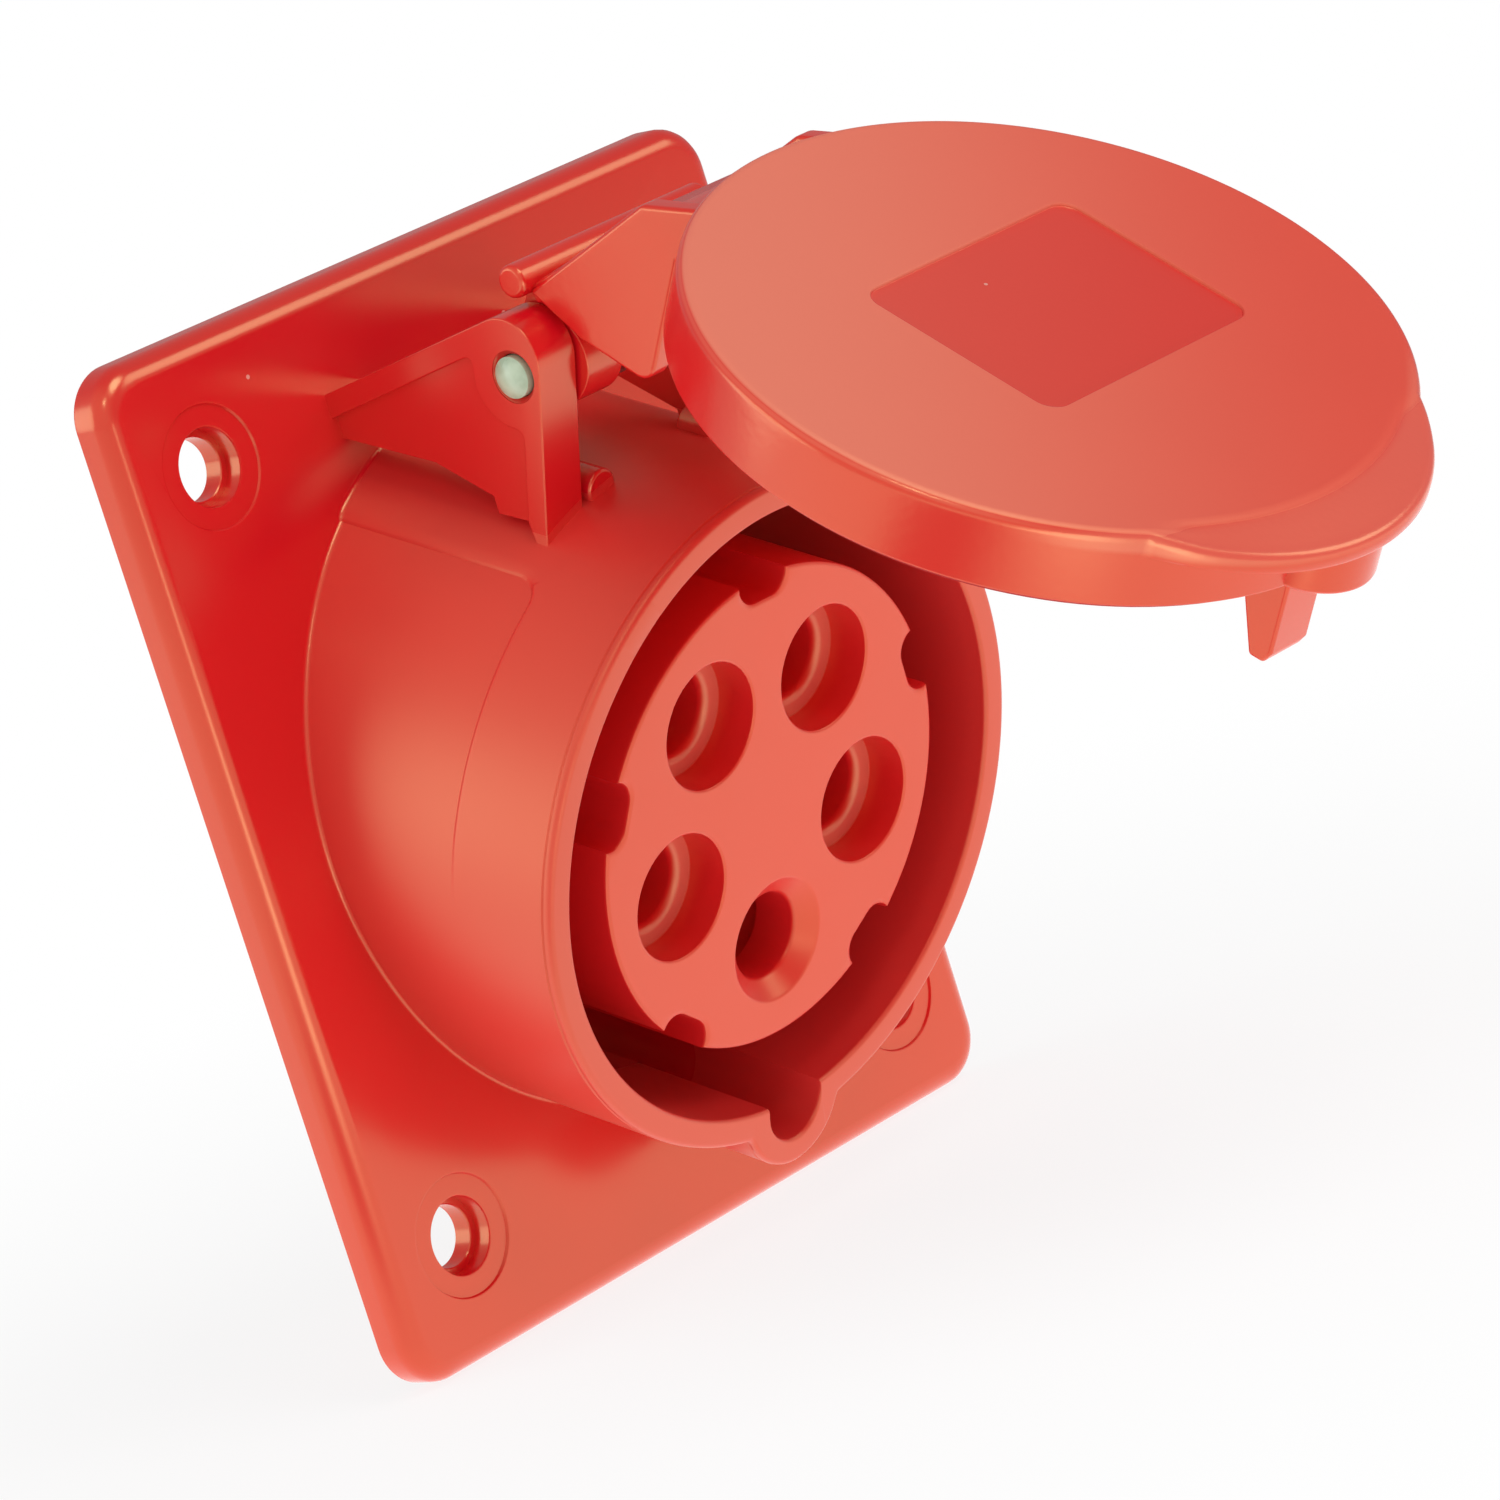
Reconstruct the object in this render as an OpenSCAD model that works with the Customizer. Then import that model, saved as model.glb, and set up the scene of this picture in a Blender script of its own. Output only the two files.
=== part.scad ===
/* [Flange] */
// Width of the mounting flange
flange_w = 84; // [80:1:110]
// Height of the mounting flange
flange_h = 100; // [96:1:130]
// Thickness of the flange
flange_t = 4.5; // [4:0.1:8]
// Radius of the flange's corners seen from the front
flange_corner_r = 5; // [3:0.5:7]
// Rounding of the flange's front edge
flange_edge_r = 2.2; // [1:0.1:2.6]
// Distance between the fixing holes along the width
hole_spacing_x = 63; // [60:0.5:66]
// Distance between the fixing holes along the height
hole_spacing_z = 76; // [74:0.5:80]
// Radius of a fixing hole
hole_r = 3; // [2.2:0.1:3.2]
// Radius of the wider front part of a fixing hole
hole_step_r = 3.7; // [3.4:0.1:4.2]
// Depth of the wider front part of a fixing hole
hole_step_depth = 2.2; // [1:0.1:3]
// Radius of the shallow ring round a fixing hole
hole_ring_r = 5.9; // [4.6:0.1:6.4]
// Depth of that ring
hole_ring_depth = 0.25; // [0.1:0.05:0.5]
// Distance from the flange's edge to the seal behind it
seal_inset = 2; // [1:0.1:2.5]
// Width of the flange seal
seal_w = 3; // [2:0.1:3.2]
// Thickness of the flange seal
seal_t = 2; // [1.5:0.1:3]

/* [Barrel] */
// Angle by which the barrel points downwards
tilt = 20; // [16:1:22]
// Distance of the mouth's centre in front of the panel
mouth_out = 30.3; // [29:0.1:34]
// Distance of the mouth's centre below the flange's centre
mouth_drop = 9.3; // [8:0.1:11]
// Inner radius of the mouth
mouth_r = 30; // [29:0.1:30.5]
// Wall of the barrel
barrel_wall = 2.8; // [2.2:0.1:3]
// Rounding of the barrel's front edge
barrel_edge_r = 0.9; // [0.4:0.1:1.2]
// Depth of the space for the plug
plug_depth = 30; // [29:0.5:32]
// Width of the keyway
key_w = 7.5; // [6.5:0.1:8]
// Depth of the keyway beyond the mouth's radius
key_depth = 4.25; // [3.5:0.05:5]
// Wall outside the keyway
key_wall = 2.6; // [2:0.1:3]
// Distance from the mouth back to the shallow panels on the barrel's sides
panel_front = 12; // [10:0.1:13]
// Depth of those panels
panel_depth = 0.4; // [0.2:0.05:0.6]
// Angle of the panels' middle round the barrel, from the right
panel_angle = 30; // [26:1:34]
// Angle over which a panel runs
panel_span = 50; // [40:1:52]
// Rounding of the panels' corners
panel_corner_r = 2.5; // [1.5:0.1:3]

/* [Carrier] */
// Radius of the contact carrier
carrier_r = 23.5; // [23:0.1:24]
// Distance of the carrier's face behind the mouth
carrier_recess = 1.5; // [1:0.1:3]
// Radius of the circle on which the contacts stand
contact_circle_r = 13.85; // [13.5:0.05:14.2]
// Radius of a live contact's wide entry
entry_r = 6.1; // [5.6:0.1:6.3]
// Depth of that entry
entry_depth = 4.6; // [3:0.1:5]
// Radius of the holes in the carrier
passage_r = 4.2; // [4.2:0.05:4.5]
// Depth of the earth entry's chamfer
earth_chamfer = 1.6; // [1:0.1:2.5]
// Width of a notch in the carrier's edge
notch_w = 6.5; // [5:0.1:7]
// Depth of a notch
notch_depth = 2.4; // [1.5:0.1:2.6]
// Thickness of the disc behind the carrier
disc_t = 3.2; // [3:0.1:4]
// Step in the barrel against which the disc seats
seat_step = 1; // [0.8:0.1:1.2]
// Thickness of the terminal plate
terminal_plate_t = 3; // [2.5:0.1:4]
// Height of the walls between the terminals
barrier_h = 10; // [6:0.5:12]

/* [Contacts] */
// Radius of a live pin of the plug
live_pin_r = 2.5; // [2.4:0.05:2.55]
// Radius of the plug's earth pin
earth_pin_r = 3.5; // [3.4:0.05:3.55]
// Clearance of a pin in its sleeve
pin_clearance = 0.05; // [0.03:0.01:0.08]
// Wall of a contact sleeve
sleeve_wall = 1.1; // [0.9:0.05:1.15]
// Distance of the sleeves' front behind the mouth
sleeve_front = 13; // [12:0.1:14]
// Depth of a sleeve's bore
sleeve_depth = 15; // [12:0.5:15.5]
// Width of the slit in a sleeve
slit_w = 0.8; // [0.5:0.1:1]
// Width of a contact's spring ring
ring_w = 4; // [3:0.1:5]
// Radius of the terminal barrels
terminal_r = 4; // [3.8:0.1:4.2]
// Length of the terminal barrels behind the terminal plate
terminal_l = 14; // [12:0.5:18]
// Radius of a wire hole
wire_r = 1.9; // [1.6:0.1:2]

/* [Lid] */
// Opening angle of the lid as it stands
lid_open = 74; // [60:1:85]
// Radius of the lid
lid_r = 33.2; // [33:0.1:34]
// Gap between the closed lid's rim and the mouth
lid_gap = 0.85; // [0.6:0.05:1.2]
// Height of the lid's rim
lid_h = 7.45; // [7:0.05:9]
// Thickness of the lid's face
lid_face_t = 2; // [1.8:0.1:2.6]
// Wall of the lid's rim
lid_wall = 3.2; // [3:0.1:3.4]
// Rounding of the lid's edge
lid_edge_r = 1; // [0.6:0.1:1.4]
// Width of the bare square recess in the lid's face
square_w = 28.5; // [20:0.5:32]
// Length of that recess
square_l = 22; // [16:0.5:26]
// Sideways place of that recess
square_x = 2.6; // [-3:0.1:3]
// Place of that recess towards the hinge
square_u = 1.3; // [-3:0.1:3]
// Depth of that recess
square_depth = 0.35; // [0.2:0.05:0.6]
// Radius of the lip's arc
lip_r = 23.2; // [22:0.1:26]
// Reach of the lip beyond the lid's rim
lip_reach = 4.3; // [3:0.1:5]
// Thickness of the lip
lip_t = 2.8; // [2:0.1:3.4]
// Radius of the thumb lug under the lip
lug_r = 6.2; // [5:0.1:7]
// Width of the nose that holds the plug
nose_w = 5.4; // [4.5:0.1:5.8]
// Length of the nose below the lid's rim
nose_l = 10.4; // [8:0.1:12]
// Width of the lid seal
lid_seal_w = 1.2; // [0.9:0.1:1.4]

/* [Hinge] */
// Height of the hinge axis above the barrel's axis
hinge_u = 44.7; // [44:0.1:46]
// Distance of the hinge axis behind the mouth
hinge_back = 17; // [16.5:0.1:18]
// Radius of the hinge pin
pin_r = 2; // [1.8:0.05:2.1]
// Gap between the two ears
ear_gap = 21.4; // [20:0.1:22]
// Thickness of an ear
ear_t = 5; // [4.5:0.1:6]
// Outer radius of the lid's knuckles
knuckle_r = 4.4; // [4:0.1:4.6]
// Width over the lid's arm
arm_w = 24; // [22.5:0.1:26]
// Wall of the lid's arm
arm_wall = 2.4; // [2:0.1:2.8]
// Radius of the spring's wire
wire_spring_r = 0.45; // [0.35:0.05:0.5]
// Turns of the spring
spring_turns = 4; // [3:1:5]

/* [Hidden] */
$fn = 96;
RED = "#cf2a22";
DEEP_RED = "#b31a1c";
BLACK = "#222222";
BRASS = "#c9a44a";
STEEL = "#b9bcc0";
GREEN = "#a9c29a";

// Clearances between pieces
seat_clearance = 0.1;
running_clearance = 0.05;
side_clearance = 0.3;
overlap = 1;

// Places round the contact circle, seen from the front
EARTH_ANGLE = 270;
L1_ANGLE = 198;
L2_ANGLE = 126;
L3_ANGLE = 54;
N_ANGLE = 342;
LIVE_ANGLES = [L1_ANGLE, L2_ANGLE, L3_ANGLE, N_ANGLE];
NOTCH_ANGLES = [for (i = [0 : 4]) 90 + 72 * i];
PLATE_SCREW_ANGLES = [90, 234, 306];

// Barrel, measured from the mouth along its axis
barrel_r = mouth_r + barrel_wall;
end_step = 0.3;
panel_lean = 50;
panel_w = 2 * barrel_r * sin(panel_span / 2);
seat_r = mouth_r + seat_step;
disc_r = seat_r - seat_clearance;
disc_back = plug_depth + disc_t;
plate_back = disc_back + terminal_plate_t;
hook_gap = 0.15;
hook_t = 1.4;
hook_lip = 0.6;
hook_w = 12;
barrel_back = plate_back + hook_gap + hook_t;
key_u = -(mouth_r + key_depth - key_w / 2);

// Hinge bracket
ear_x = ear_gap / 2;
ear_front = hinge_back - 3.2;
ear_round_r = 4.2;
ear_round_u = hinge_u + 1.2;
ear_round_back = ear_front + ear_round_r;
boss_r = 5.2;
rim_t = 0.7;
web_t = 0.8;
rim_w = 2.3;
ear_wall_t = ear_t - rim_t - web_t;
gusset_top = [-flange_t, flange_h / 2 - 10.2];
gusset_low = [-flange_t, flange_h / 2 - 14.3];
gusset_reach = 10.9;
gusset_drop = 18.3;
gusset_mid = [-flange_t - gusset_reach, flange_h / 2 - gusset_drop];
foot_drop = 14.5;
foot_u = hinge_u - foot_drop;
foot_back = hinge_back + 3.9;
ear_sink = 6;
stop_r = 1.8;
stop_x = ear_x - 2.4;
stop_u = barrel_r - 0.6;
stop_front = ear_front - 0.4;
stop_l = 4;

// Carrier
carrier_chamfer = 0.5;
cap_t = 6.2;
cap_back = carrier_recess + cap_t;
notch_corner_r = 0.95 * notch_depth;
notch_floor = 2;

// Contacts
live_bore_r = live_pin_r + pin_clearance;
earth_bore_r = earth_pin_r + pin_clearance;
live_sleeve_r = live_bore_r + sleeve_wall;
earth_sleeve_r = earth_bore_r + sleeve_wall;
ring_sink = 0.3;
ring_t = 0.6;
ring_back = 3;
ring_slot = 1;
collar_step = 1.7;
earth_cavity_r = earth_sleeve_r - ring_sink + running_clearance + ring_t + 0.2;
terminal_back = plate_back + terminal_l;
terminal_screw_back = plate_back + terminal_l / 2;
wire_depth = terminal_l - 3;
screw_r = 1.5;
screw_head_r = 2.3;
screw_head_h = 1.8;
slot_w = 0.7;
slot_depth = 0.8;
plate_screw_circle_r = 18.5;
plate_screw_r = 1.25;
plate_screw_head_r = 2.75;
plate_screw_head_h = 1.9;
plate_screw_l = 10;
barrier_t = 1.6;
barrier_in_r = 4;
barrier_out_r = 14.5;

// Lid, as it lies when closed
lid_low = lid_gap;
lid_face = lid_gap + lid_h;
lid_in_r = lid_r - lid_wall;
lid_seal_r = lid_in_r + (lid_wall - lid_seal_w) / 2;
lid_seal_in = lid_seal_r - seat_clearance;
lid_seal_sink = 1.2;
lid_seal_gap = 0.2;
lip_u = -(lid_r + lip_reach - lip_r);
lip_drop = 0.5;
lug_low = lid_gap;
lug_u = -(lid_r + lip_reach - 0.6 - lug_r);
nose_out = sqrt(pow(lid_seal_in, 2) - pow(nose_w / 2, 2)) - 0.02;
nose_hook = 0.65;
nose_tip_t = 1.6;
nose_root_t = 5.4;
nose_low = lid_low - nose_l;
arm_x = arm_w / 2;
knuckle_x = ear_x - side_clearance;
spring_x = 5.6;
arm_clear = 0.45;
arm_low_u = barrel_r - 0.6;
arm_top_u = hinge_u - 7.4;
arm_top = lid_face - 4.2;
bar_r = 1.6;
bar_x = arm_x + 1.2;
bar_u = hinge_u + 4.2;
bar_back = hinge_back - 7;
arm_end_u = hinge_u + 2.9;
arm_end_back = hinge_back - 6.3;
arm_near_u = hinge_u - 3.8;
arm_near_back = hinge_back - 4.8;
arm_tip_u = hinge_u - 11;
arm_tip_back = hinge_back - 4.6 - 1.8;
arm_tip_r = 1.8;

// Spring round the pin
coil_r = 3.3;
coil_x = spring_x - 2 * wire_spring_r - side_clearance;
coil_start = -64.5;
coil_end = -35.5;
housing_leg_l = 13.3;
lid_leg_l = 14;
ring_sides = 8;
rings_per_turn = 20;

// A point of the flange's side view, given in the barrel's own height and depth
function in_socket(p) =
    let (y = p[0] + mouth_out, z = p[1] + mouth_drop)
    [-y * sin(tilt) + z * cos(tilt), -y * cos(tilt) - z * sin(tilt)];
function on_circle(r, angle) = [r * cos(angle), r * sin(angle)];
function unit(v) = v / norm(v);
function tangent_point(from, centre, r) =
    let (way = from - centre)
    centre + on_circle(r, atan2(way[1], way[0]) + acos(r / norm(way)));

// Side view of the bracket: the head of the ear, and the gusset's top edge touching it
ear_head = [ear_round_u, -ear_round_back];
gusset_root = in_socket(gusset_top + [overlap, -overlap * 0.2]);
ear_top = tangent_point(gusset_root, ear_head, ear_round_r);

// The barrel's frame: X to the right, Y up across the mouth, Z out of the mouth
module socket_frame() {
    translate([0, -mouth_out, -mouth_drop])
        rotate([90 + tilt, 0, 0])
            children();
}

// The lid's frame: the barrel's frame, turned about the hinge by the opening angle
module lid_frame() {
    socket_frame()
        translate([0, hinge_u, -hinge_back])
            rotate([-lid_open, 0, 0])
                translate([0, -hinge_u, hinge_back])
                    children();
}

// A side view drawn in Y and Z, given a width along X
module along_x(from, to) {
    translate([from, 0, 0])
        rotate([90, 0, 90])
            linear_extrude(to - from)
                children();
}

module both_sides() {
    children();
    mirror([1, 0, 0]) children();
}

// A cylinder along Z between two heights
module rod(r, low, high) {
    translate([0, 0, low]) cylinder(r = r, h = high - low);
}

module rounded_rectangle(w, h, r) {
    square([w - 2 * r, h], center = true);
    square([w, h - 2 * r], center = true);
    for (x = [-1, 1])
        for (y = [-1, 1])
            translate([x * (w / 2 - r), y * (h / 2 - r)]) circle(r);
}

module at_fixing_holes() {
    for (x = [-1, 1])
        for (z = [-1, 1])
            translate([x * hole_spacing_x / 2, 0, z * hole_spacing_z / 2])
                rotate([90, 0, 0])
                    children();
}

module flange_plate() {
    inner = flange_corner_r - flange_edge_r;
    rotate([90, 0, 0])
        hull()
            for (x = [-1, 1])
                for (y = [-1, 1])
                    translate([x * (flange_w / 2 - flange_corner_r), y * (flange_h / 2 - flange_corner_r), 0])
                        rotate_extrude($fn = 32) {
                            square([inner, flange_t]);
                            square([flange_corner_r, flange_t - flange_edge_r]);
                            intersection() {
                                translate([inner, flange_t - flange_edge_r]) circle(flange_edge_r, $fn = 32);
                                square([flange_corner_r, flange_t]);
                            }
                        }
}

// Everything in front of the flange's middle plane
module front_of_flange() {
    reach = 2 * mouth_out + flange_w;
    translate([-flange_w, -reach - flange_t + overlap, -flange_h]) cube([2 * flange_w, reach, 2 * flange_h]);
}

// Outer form of the barrel, long enough to run into the flange
module barrel_body() {
    length = 2 * barrel_back;
    rotate_extrude() {
        translate([0, -length]) square([barrel_r - barrel_edge_r, length]);
        translate([0, -length]) square([barrel_r, length - barrel_edge_r]);
        intersection() {
            translate([barrel_r - barrel_edge_r, -barrel_edge_r]) circle(barrel_edge_r);
            translate([0, -length]) square([barrel_r, length]);
        }
    }
    translate([0, key_u, 0]) rod(key_w / 2 + key_wall, -length, 0);
}

// The barrel's end behind the flange
module barrel_end() {
    rod(barrel_r - end_step, -barrel_back, -plug_depth / 2);
    translate([0, key_u, 0]) rod(key_w / 2 + key_wall - end_step, -barrel_back, -plug_depth / 2);
}

// Shallow panel on one side of the barrel, deepest at its upper end
module side_panel() {
    length = 2 * barrel_back;
    rotate(panel_angle)
        intersection() {
            along_x(0, 2 * barrel_r)
                translate([0, -panel_front - length / 2]) rounded_rectangle(panel_w, length, panel_corner_r);
            difference() {
                rod(barrel_r + overlap, -2 * length, 0);
                translate(-panel_depth * on_circle(1, panel_lean)) rod(barrel_r, -3 * length, overlap);
            }
        }
}

// The ear's side view: a round head, a straight front and a gusset back to the flange
module ear_outline() {
    translate(ear_head) circle(ear_round_r);
    polygon([
        [foot_u - ear_sink, -ear_front],
        [ear_round_u, -ear_front],
        ear_head,
        ear_top,
        gusset_root,
        in_socket([overlap - flange_t, 0])
    ]);
}

// The part of the ear above the gusset's lower edge and in front of the foot
module web_outline() {
    intersection() {
        ear_outline();
        polygon([
            in_socket(gusset_low + [overlap, 0]),
            in_socket(gusset_mid),
            [foot_u + 1.6, -foot_back],
            [foot_u, -foot_back + 0.6],
            [foot_u, -ear_front - 1.4],
            [foot_u - ear_sink, -ear_front],
            [foot_u - ear_sink, hinge_back],
            [2 * hinge_u, hinge_back],
            [2 * hinge_u, -4 * hinge_back]
        ]);
    }
}

// The raised rims along the gusset's top and the ear's front, and the boss round the pin
module rim_outline() {
    slope = unit(ear_top - gusset_root);
    inward = [-slope[1], slope[0]];
    intersection() {
        web_outline();
        union() {
            translate([hinge_u, -hinge_back]) circle(boss_r);
            translate([foot_u - 2 * ear_sink, -ear_front - rim_w]) square([hinge_u, 2 * rim_w]);
            polygon([
                gusset_root - inward,
                ear_top + slope * ear_round_r - inward,
                ear_top + slope * ear_round_r + inward * rim_w,
                gusset_root + inward * rim_w
            ]);
        }
    }
}

module hinge_ear() {
    along_x(ear_x, ear_x + ear_wall_t) ear_outline();
    along_x(ear_x + ear_wall_t - overlap, ear_x + ear_wall_t + web_t) web_outline();
    along_x(ear_x + ear_wall_t + web_t - overlap, ear_x + ear_t) rim_outline();
    translate([stop_x, stop_u, 0]) rod(stop_r, -stop_front - stop_l, -stop_front);
}

// The space inside the barrel, with three lips left at its back end
module barrel_space() {
    rod(mouth_r, -plug_depth - overlap, overlap);
    rod(seat_r, -plate_back - hook_gap, -plug_depth);
    rod(seat_r, -barrel_back - flange_h / 2, -barrel_back);
    translate([0, 0, -barrel_back - overlap])
        linear_extrude(barrel_back + overlap - plate_back)
            difference() {
                circle(seat_r);
                for (i = [0 : 2])
                    rotate(90 + 120 * i)
                        translate([seat_r - hook_lip, -hook_w / 2]) square([hook_lip + overlap, hook_w]);
            }
    translate([0, key_u, 0]) rod(key_w / 2, -plug_depth, overlap);
    translate([-key_w / 2, key_u, -plug_depth]) cube([key_w, key_depth + key_w, plug_depth + overlap]);
}

module seal_groove(extra) {
    rotate([90, 0, 0])
        linear_extrude(seal_t)
            difference() {
                rounded_rectangle(flange_w - 2 * (seal_inset - extra), flange_h - 2 * (seal_inset - extra),
                    flange_corner_r - seal_inset + extra);
                rounded_rectangle(flange_w - 2 * (seal_inset + seal_w + extra),
                    flange_h - 2 * (seal_inset + seal_w + extra), flange_corner_r - seal_inset - extra);
            }
}

// Flange, inclined barrel and hinge ears, moulded in one piece
module housing() {
    color(RED)
        difference() {
            union() {
                flange_plate();
                intersection() {
                    socket_frame() {
                        difference() {
                            barrel_body();
                            both_sides() side_panel();
                        }
                        both_sides() hinge_ear();
                    }
                    front_of_flange();
                }
                socket_frame() barrel_end();
            }
            socket_frame() {
                barrel_space();
                translate([-flange_w / 2, hinge_u, -hinge_back])
                    rotate([0, 90, 0])
                        cylinder(r = pin_r + running_clearance, h = flange_w);
            }
            at_fixing_holes() {
                translate([0, 0, -overlap]) cylinder(r = hole_r, h = flange_t + 2 * overlap);
                rod(hole_step_r, flange_t - hole_step_depth, flange_t + overlap);
                rod(hole_ring_r, flange_t - hole_ring_depth, flange_t + overlap);
            }
            seal_groove(seat_clearance);
        }
}

module flange_seal() {
    color(BLACK) seal_groove(0);
}

// Moulded face of the carrier, with the contact entries
module contact_carrier() {
    color(RED)
        socket_frame()
            difference() {
                union() {
                    rod(carrier_r, -cap_back, -carrier_recess - carrier_chamfer);
                    translate([0, 0, -carrier_recess - carrier_chamfer])
                        cylinder(r1 = carrier_r, r2 = carrier_r - carrier_chamfer, h = carrier_chamfer);
                }
                carrier_notches();
                for (angle = LIVE_ANGLES)
                    translate(on_circle(contact_circle_r, angle)) {
                        rod(passage_r, -cap_back - overlap, 0);
                        rod(entry_r, -carrier_recess - entry_depth, 0);
                    }
                translate(on_circle(contact_circle_r, EARTH_ANGLE)) {
                    rod(passage_r, -cap_back - overlap, 0);
                    translate([0, 0, -carrier_recess - earth_chamfer])
                        cylinder(r1 = passage_r, r2 = entry_r, h = earth_chamfer);
                    rod(entry_r, -carrier_recess, 0);
                }
            }
}

// Moulded core behind the face, with the passages in which the sleeves stand
module carrier_core() {
    color(RED)
        socket_frame()
            difference() {
                rod(carrier_r, -plug_depth, -cap_back - running_clearance);
                carrier_notches();
                for (angle = LIVE_ANGLES)
                    translate(on_circle(contact_circle_r, angle)) rod(passage_r, -plug_depth - overlap, 0);
                translate(on_circle(contact_circle_r, EARTH_ANGLE))
                    rod(earth_cavity_r, -plug_depth - overlap, 0);
                for (angle = PLATE_SCREW_ANGLES)
                    translate(on_circle(plate_screw_circle_r, angle))
                        rod(plate_screw_r, -plug_depth - overlap, plate_screw_l - plate_back + overlap);
            }
}

module carrier_notches() {
    for (angle = NOTCH_ANGLES)
        rotate(angle) translate([carrier_r, 0, 0]) carrier_notch();
}

// Disc behind the core, which seats in the barrel and holds the contacts' collars
module carrier_disc() {
    color(DEEP_RED)
        socket_frame()
            difference() {
                rod(disc_r, -disc_back + running_clearance, -plug_depth - running_clearance);
                for (angle = LIVE_ANGLES)
                    translate(on_circle(contact_circle_r, angle))
                        rod(live_sleeve_r + collar_step + seat_clearance, -disc_back - overlap, 0);
                translate(on_circle(contact_circle_r, EARTH_ANGLE))
                    rod(earth_sleeve_r + collar_step + seat_clearance, -disc_back - overlap, 0);
                for (angle = PLATE_SCREW_ANGLES)
                    translate(on_circle(plate_screw_circle_r, angle))
                        rod(plate_screw_r + side_clearance, -disc_back - overlap, 0);
            }
}

// A notch with a rounded bottom in the carrier's edge
module carrier_notch() {
    corner = notch_corner_r;
    length = plug_depth - carrier_recess - notch_floor;
    translate([0, 0, -carrier_recess - length])
        linear_extrude(length + 2 * carrier_recess) {
            translate([-notch_depth + corner, -notch_w / 2]) square([notch_depth, notch_w]);
            translate([-notch_depth, -notch_w / 2 + corner]) square([notch_depth, notch_w - 2 * corner]);
            for (y = [-1, 1])
                translate([-notch_depth + corner, y * (notch_w / 2 - corner)]) circle(corner);
        }
}

// Rear plate that traps the contacts' collars, with walls between the terminals
module terminal_plate() {
    color(DEEP_RED)
        socket_frame()
            difference() {
                union() {
                    rod(disc_r, -plate_back, -disc_back);
                    for (angle = NOTCH_ANGLES)
                        rotate(angle)
                            translate([barrier_in_r, -barrier_t / 2, -plate_back - barrier_h])
                                cube([barrier_out_r - barrier_in_r, barrier_t, barrier_h + overlap]);
                }
                for (angle = concat(LIVE_ANGLES, EARTH_ANGLE))
                    translate(on_circle(contact_circle_r, angle))
                        rod(terminal_r + seat_clearance, -plate_back - overlap, -disc_back + overlap);
                for (angle = PLATE_SCREW_ANGLES)
                    translate(on_circle(plate_screw_circle_r, angle))
                        rod(plate_screw_r + side_clearance, -plate_back - overlap, -disc_back + overlap);
            }
}

// Turned contact: slit sleeve in front, collar, and terminal barrel with its wire hole behind
module contact(angle, bore_r, sleeve_r) {
    groove_low = -sleeve_front - ring_back - ring_w;
    socket_frame()
        translate(on_circle(contact_circle_r, angle))
            rotate(angle)
                difference() {
                    union() {
                        rod(sleeve_r, -plug_depth - overlap, -sleeve_front);
                        rod(sleeve_r + collar_step, -disc_back, -plug_depth - running_clearance);
                        rod(terminal_r, -terminal_back, -disc_back + overlap);
                    }
                    rod(bore_r, -sleeve_front - sleeve_depth, overlap);
                    translate([0, -slit_w / 2, -sleeve_front - sleeve_depth + 4])
                        cube([2 * sleeve_r, slit_w, sleeve_depth]);
                    difference() {
                        rod(sleeve_r + overlap, groove_low - running_clearance,
                            groove_low + ring_w + running_clearance);
                        rod(sleeve_r - ring_sink, groove_low - overlap, groove_low + ring_w + overlap);
                    }
                    rod(wire_r, -terminal_back - overlap, -terminal_back + wire_depth);
                    translate([0, 0, -terminal_screw_back])
                        rotate([0, 90, 0])
                            cylinder(r = screw_r + running_clearance, h = 2 * terminal_r);
                }
}

module contact_l1() {
    color(BRASS) contact(L1_ANGLE, live_bore_r, live_sleeve_r);
}

module contact_l2() {
    color(BRASS) contact(L2_ANGLE, live_bore_r, live_sleeve_r);
}

module contact_l3() {
    color(BRASS) contact(L3_ANGLE, live_bore_r, live_sleeve_r);
}

module contact_n() {
    color(BRASS) contact(N_ANGLE, live_bore_r, live_sleeve_r);
}

module contact_earth() {
    color(BRASS) contact(EARTH_ANGLE, earth_bore_r, earth_sleeve_r);
}

// Open spring ring that grips a slit sleeve
module contact_ring(angle, sleeve_r) {
    inner_r = sleeve_r - ring_sink + running_clearance;
    low = -sleeve_front - ring_back - ring_w;
    socket_frame()
        translate(on_circle(contact_circle_r, angle))
            rotate(angle + 180)
                difference() {
                    rod(inner_r + ring_t, low, low + ring_w);
                    rod(inner_r, low - overlap, low + ring_w + overlap);
                    translate([0, -ring_slot / 2, low - overlap])
                        cube([2 * sleeve_r, ring_slot, ring_w + 2 * overlap]);
                }
}

module ring_l1() {
    color(STEEL) contact_ring(L1_ANGLE, live_sleeve_r);
}

module ring_l2() {
    color(STEEL) contact_ring(L2_ANGLE, live_sleeve_r);
}

module ring_l3() {
    color(STEEL) contact_ring(L3_ANGLE, live_sleeve_r);
}

module ring_n() {
    color(STEEL) contact_ring(N_ANGLE, live_sleeve_r);
}

module ring_earth() {
    color(STEEL) contact_ring(EARTH_ANGLE, earth_sleeve_r);
}

// A slotted screw whose head stands on Z = 0 and whose shank points down
module slotted_screw(shank_r, shank_l, head_r, head_h) {
    difference() {
        union() {
            rod(shank_r, -shank_l, overlap);
            rod(head_r, 0, head_h);
        }
        translate([-head_r, -slot_w / 2, head_h - slot_depth]) cube([2 * head_r, slot_w, 2 * slot_depth]);
    }
}

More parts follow.
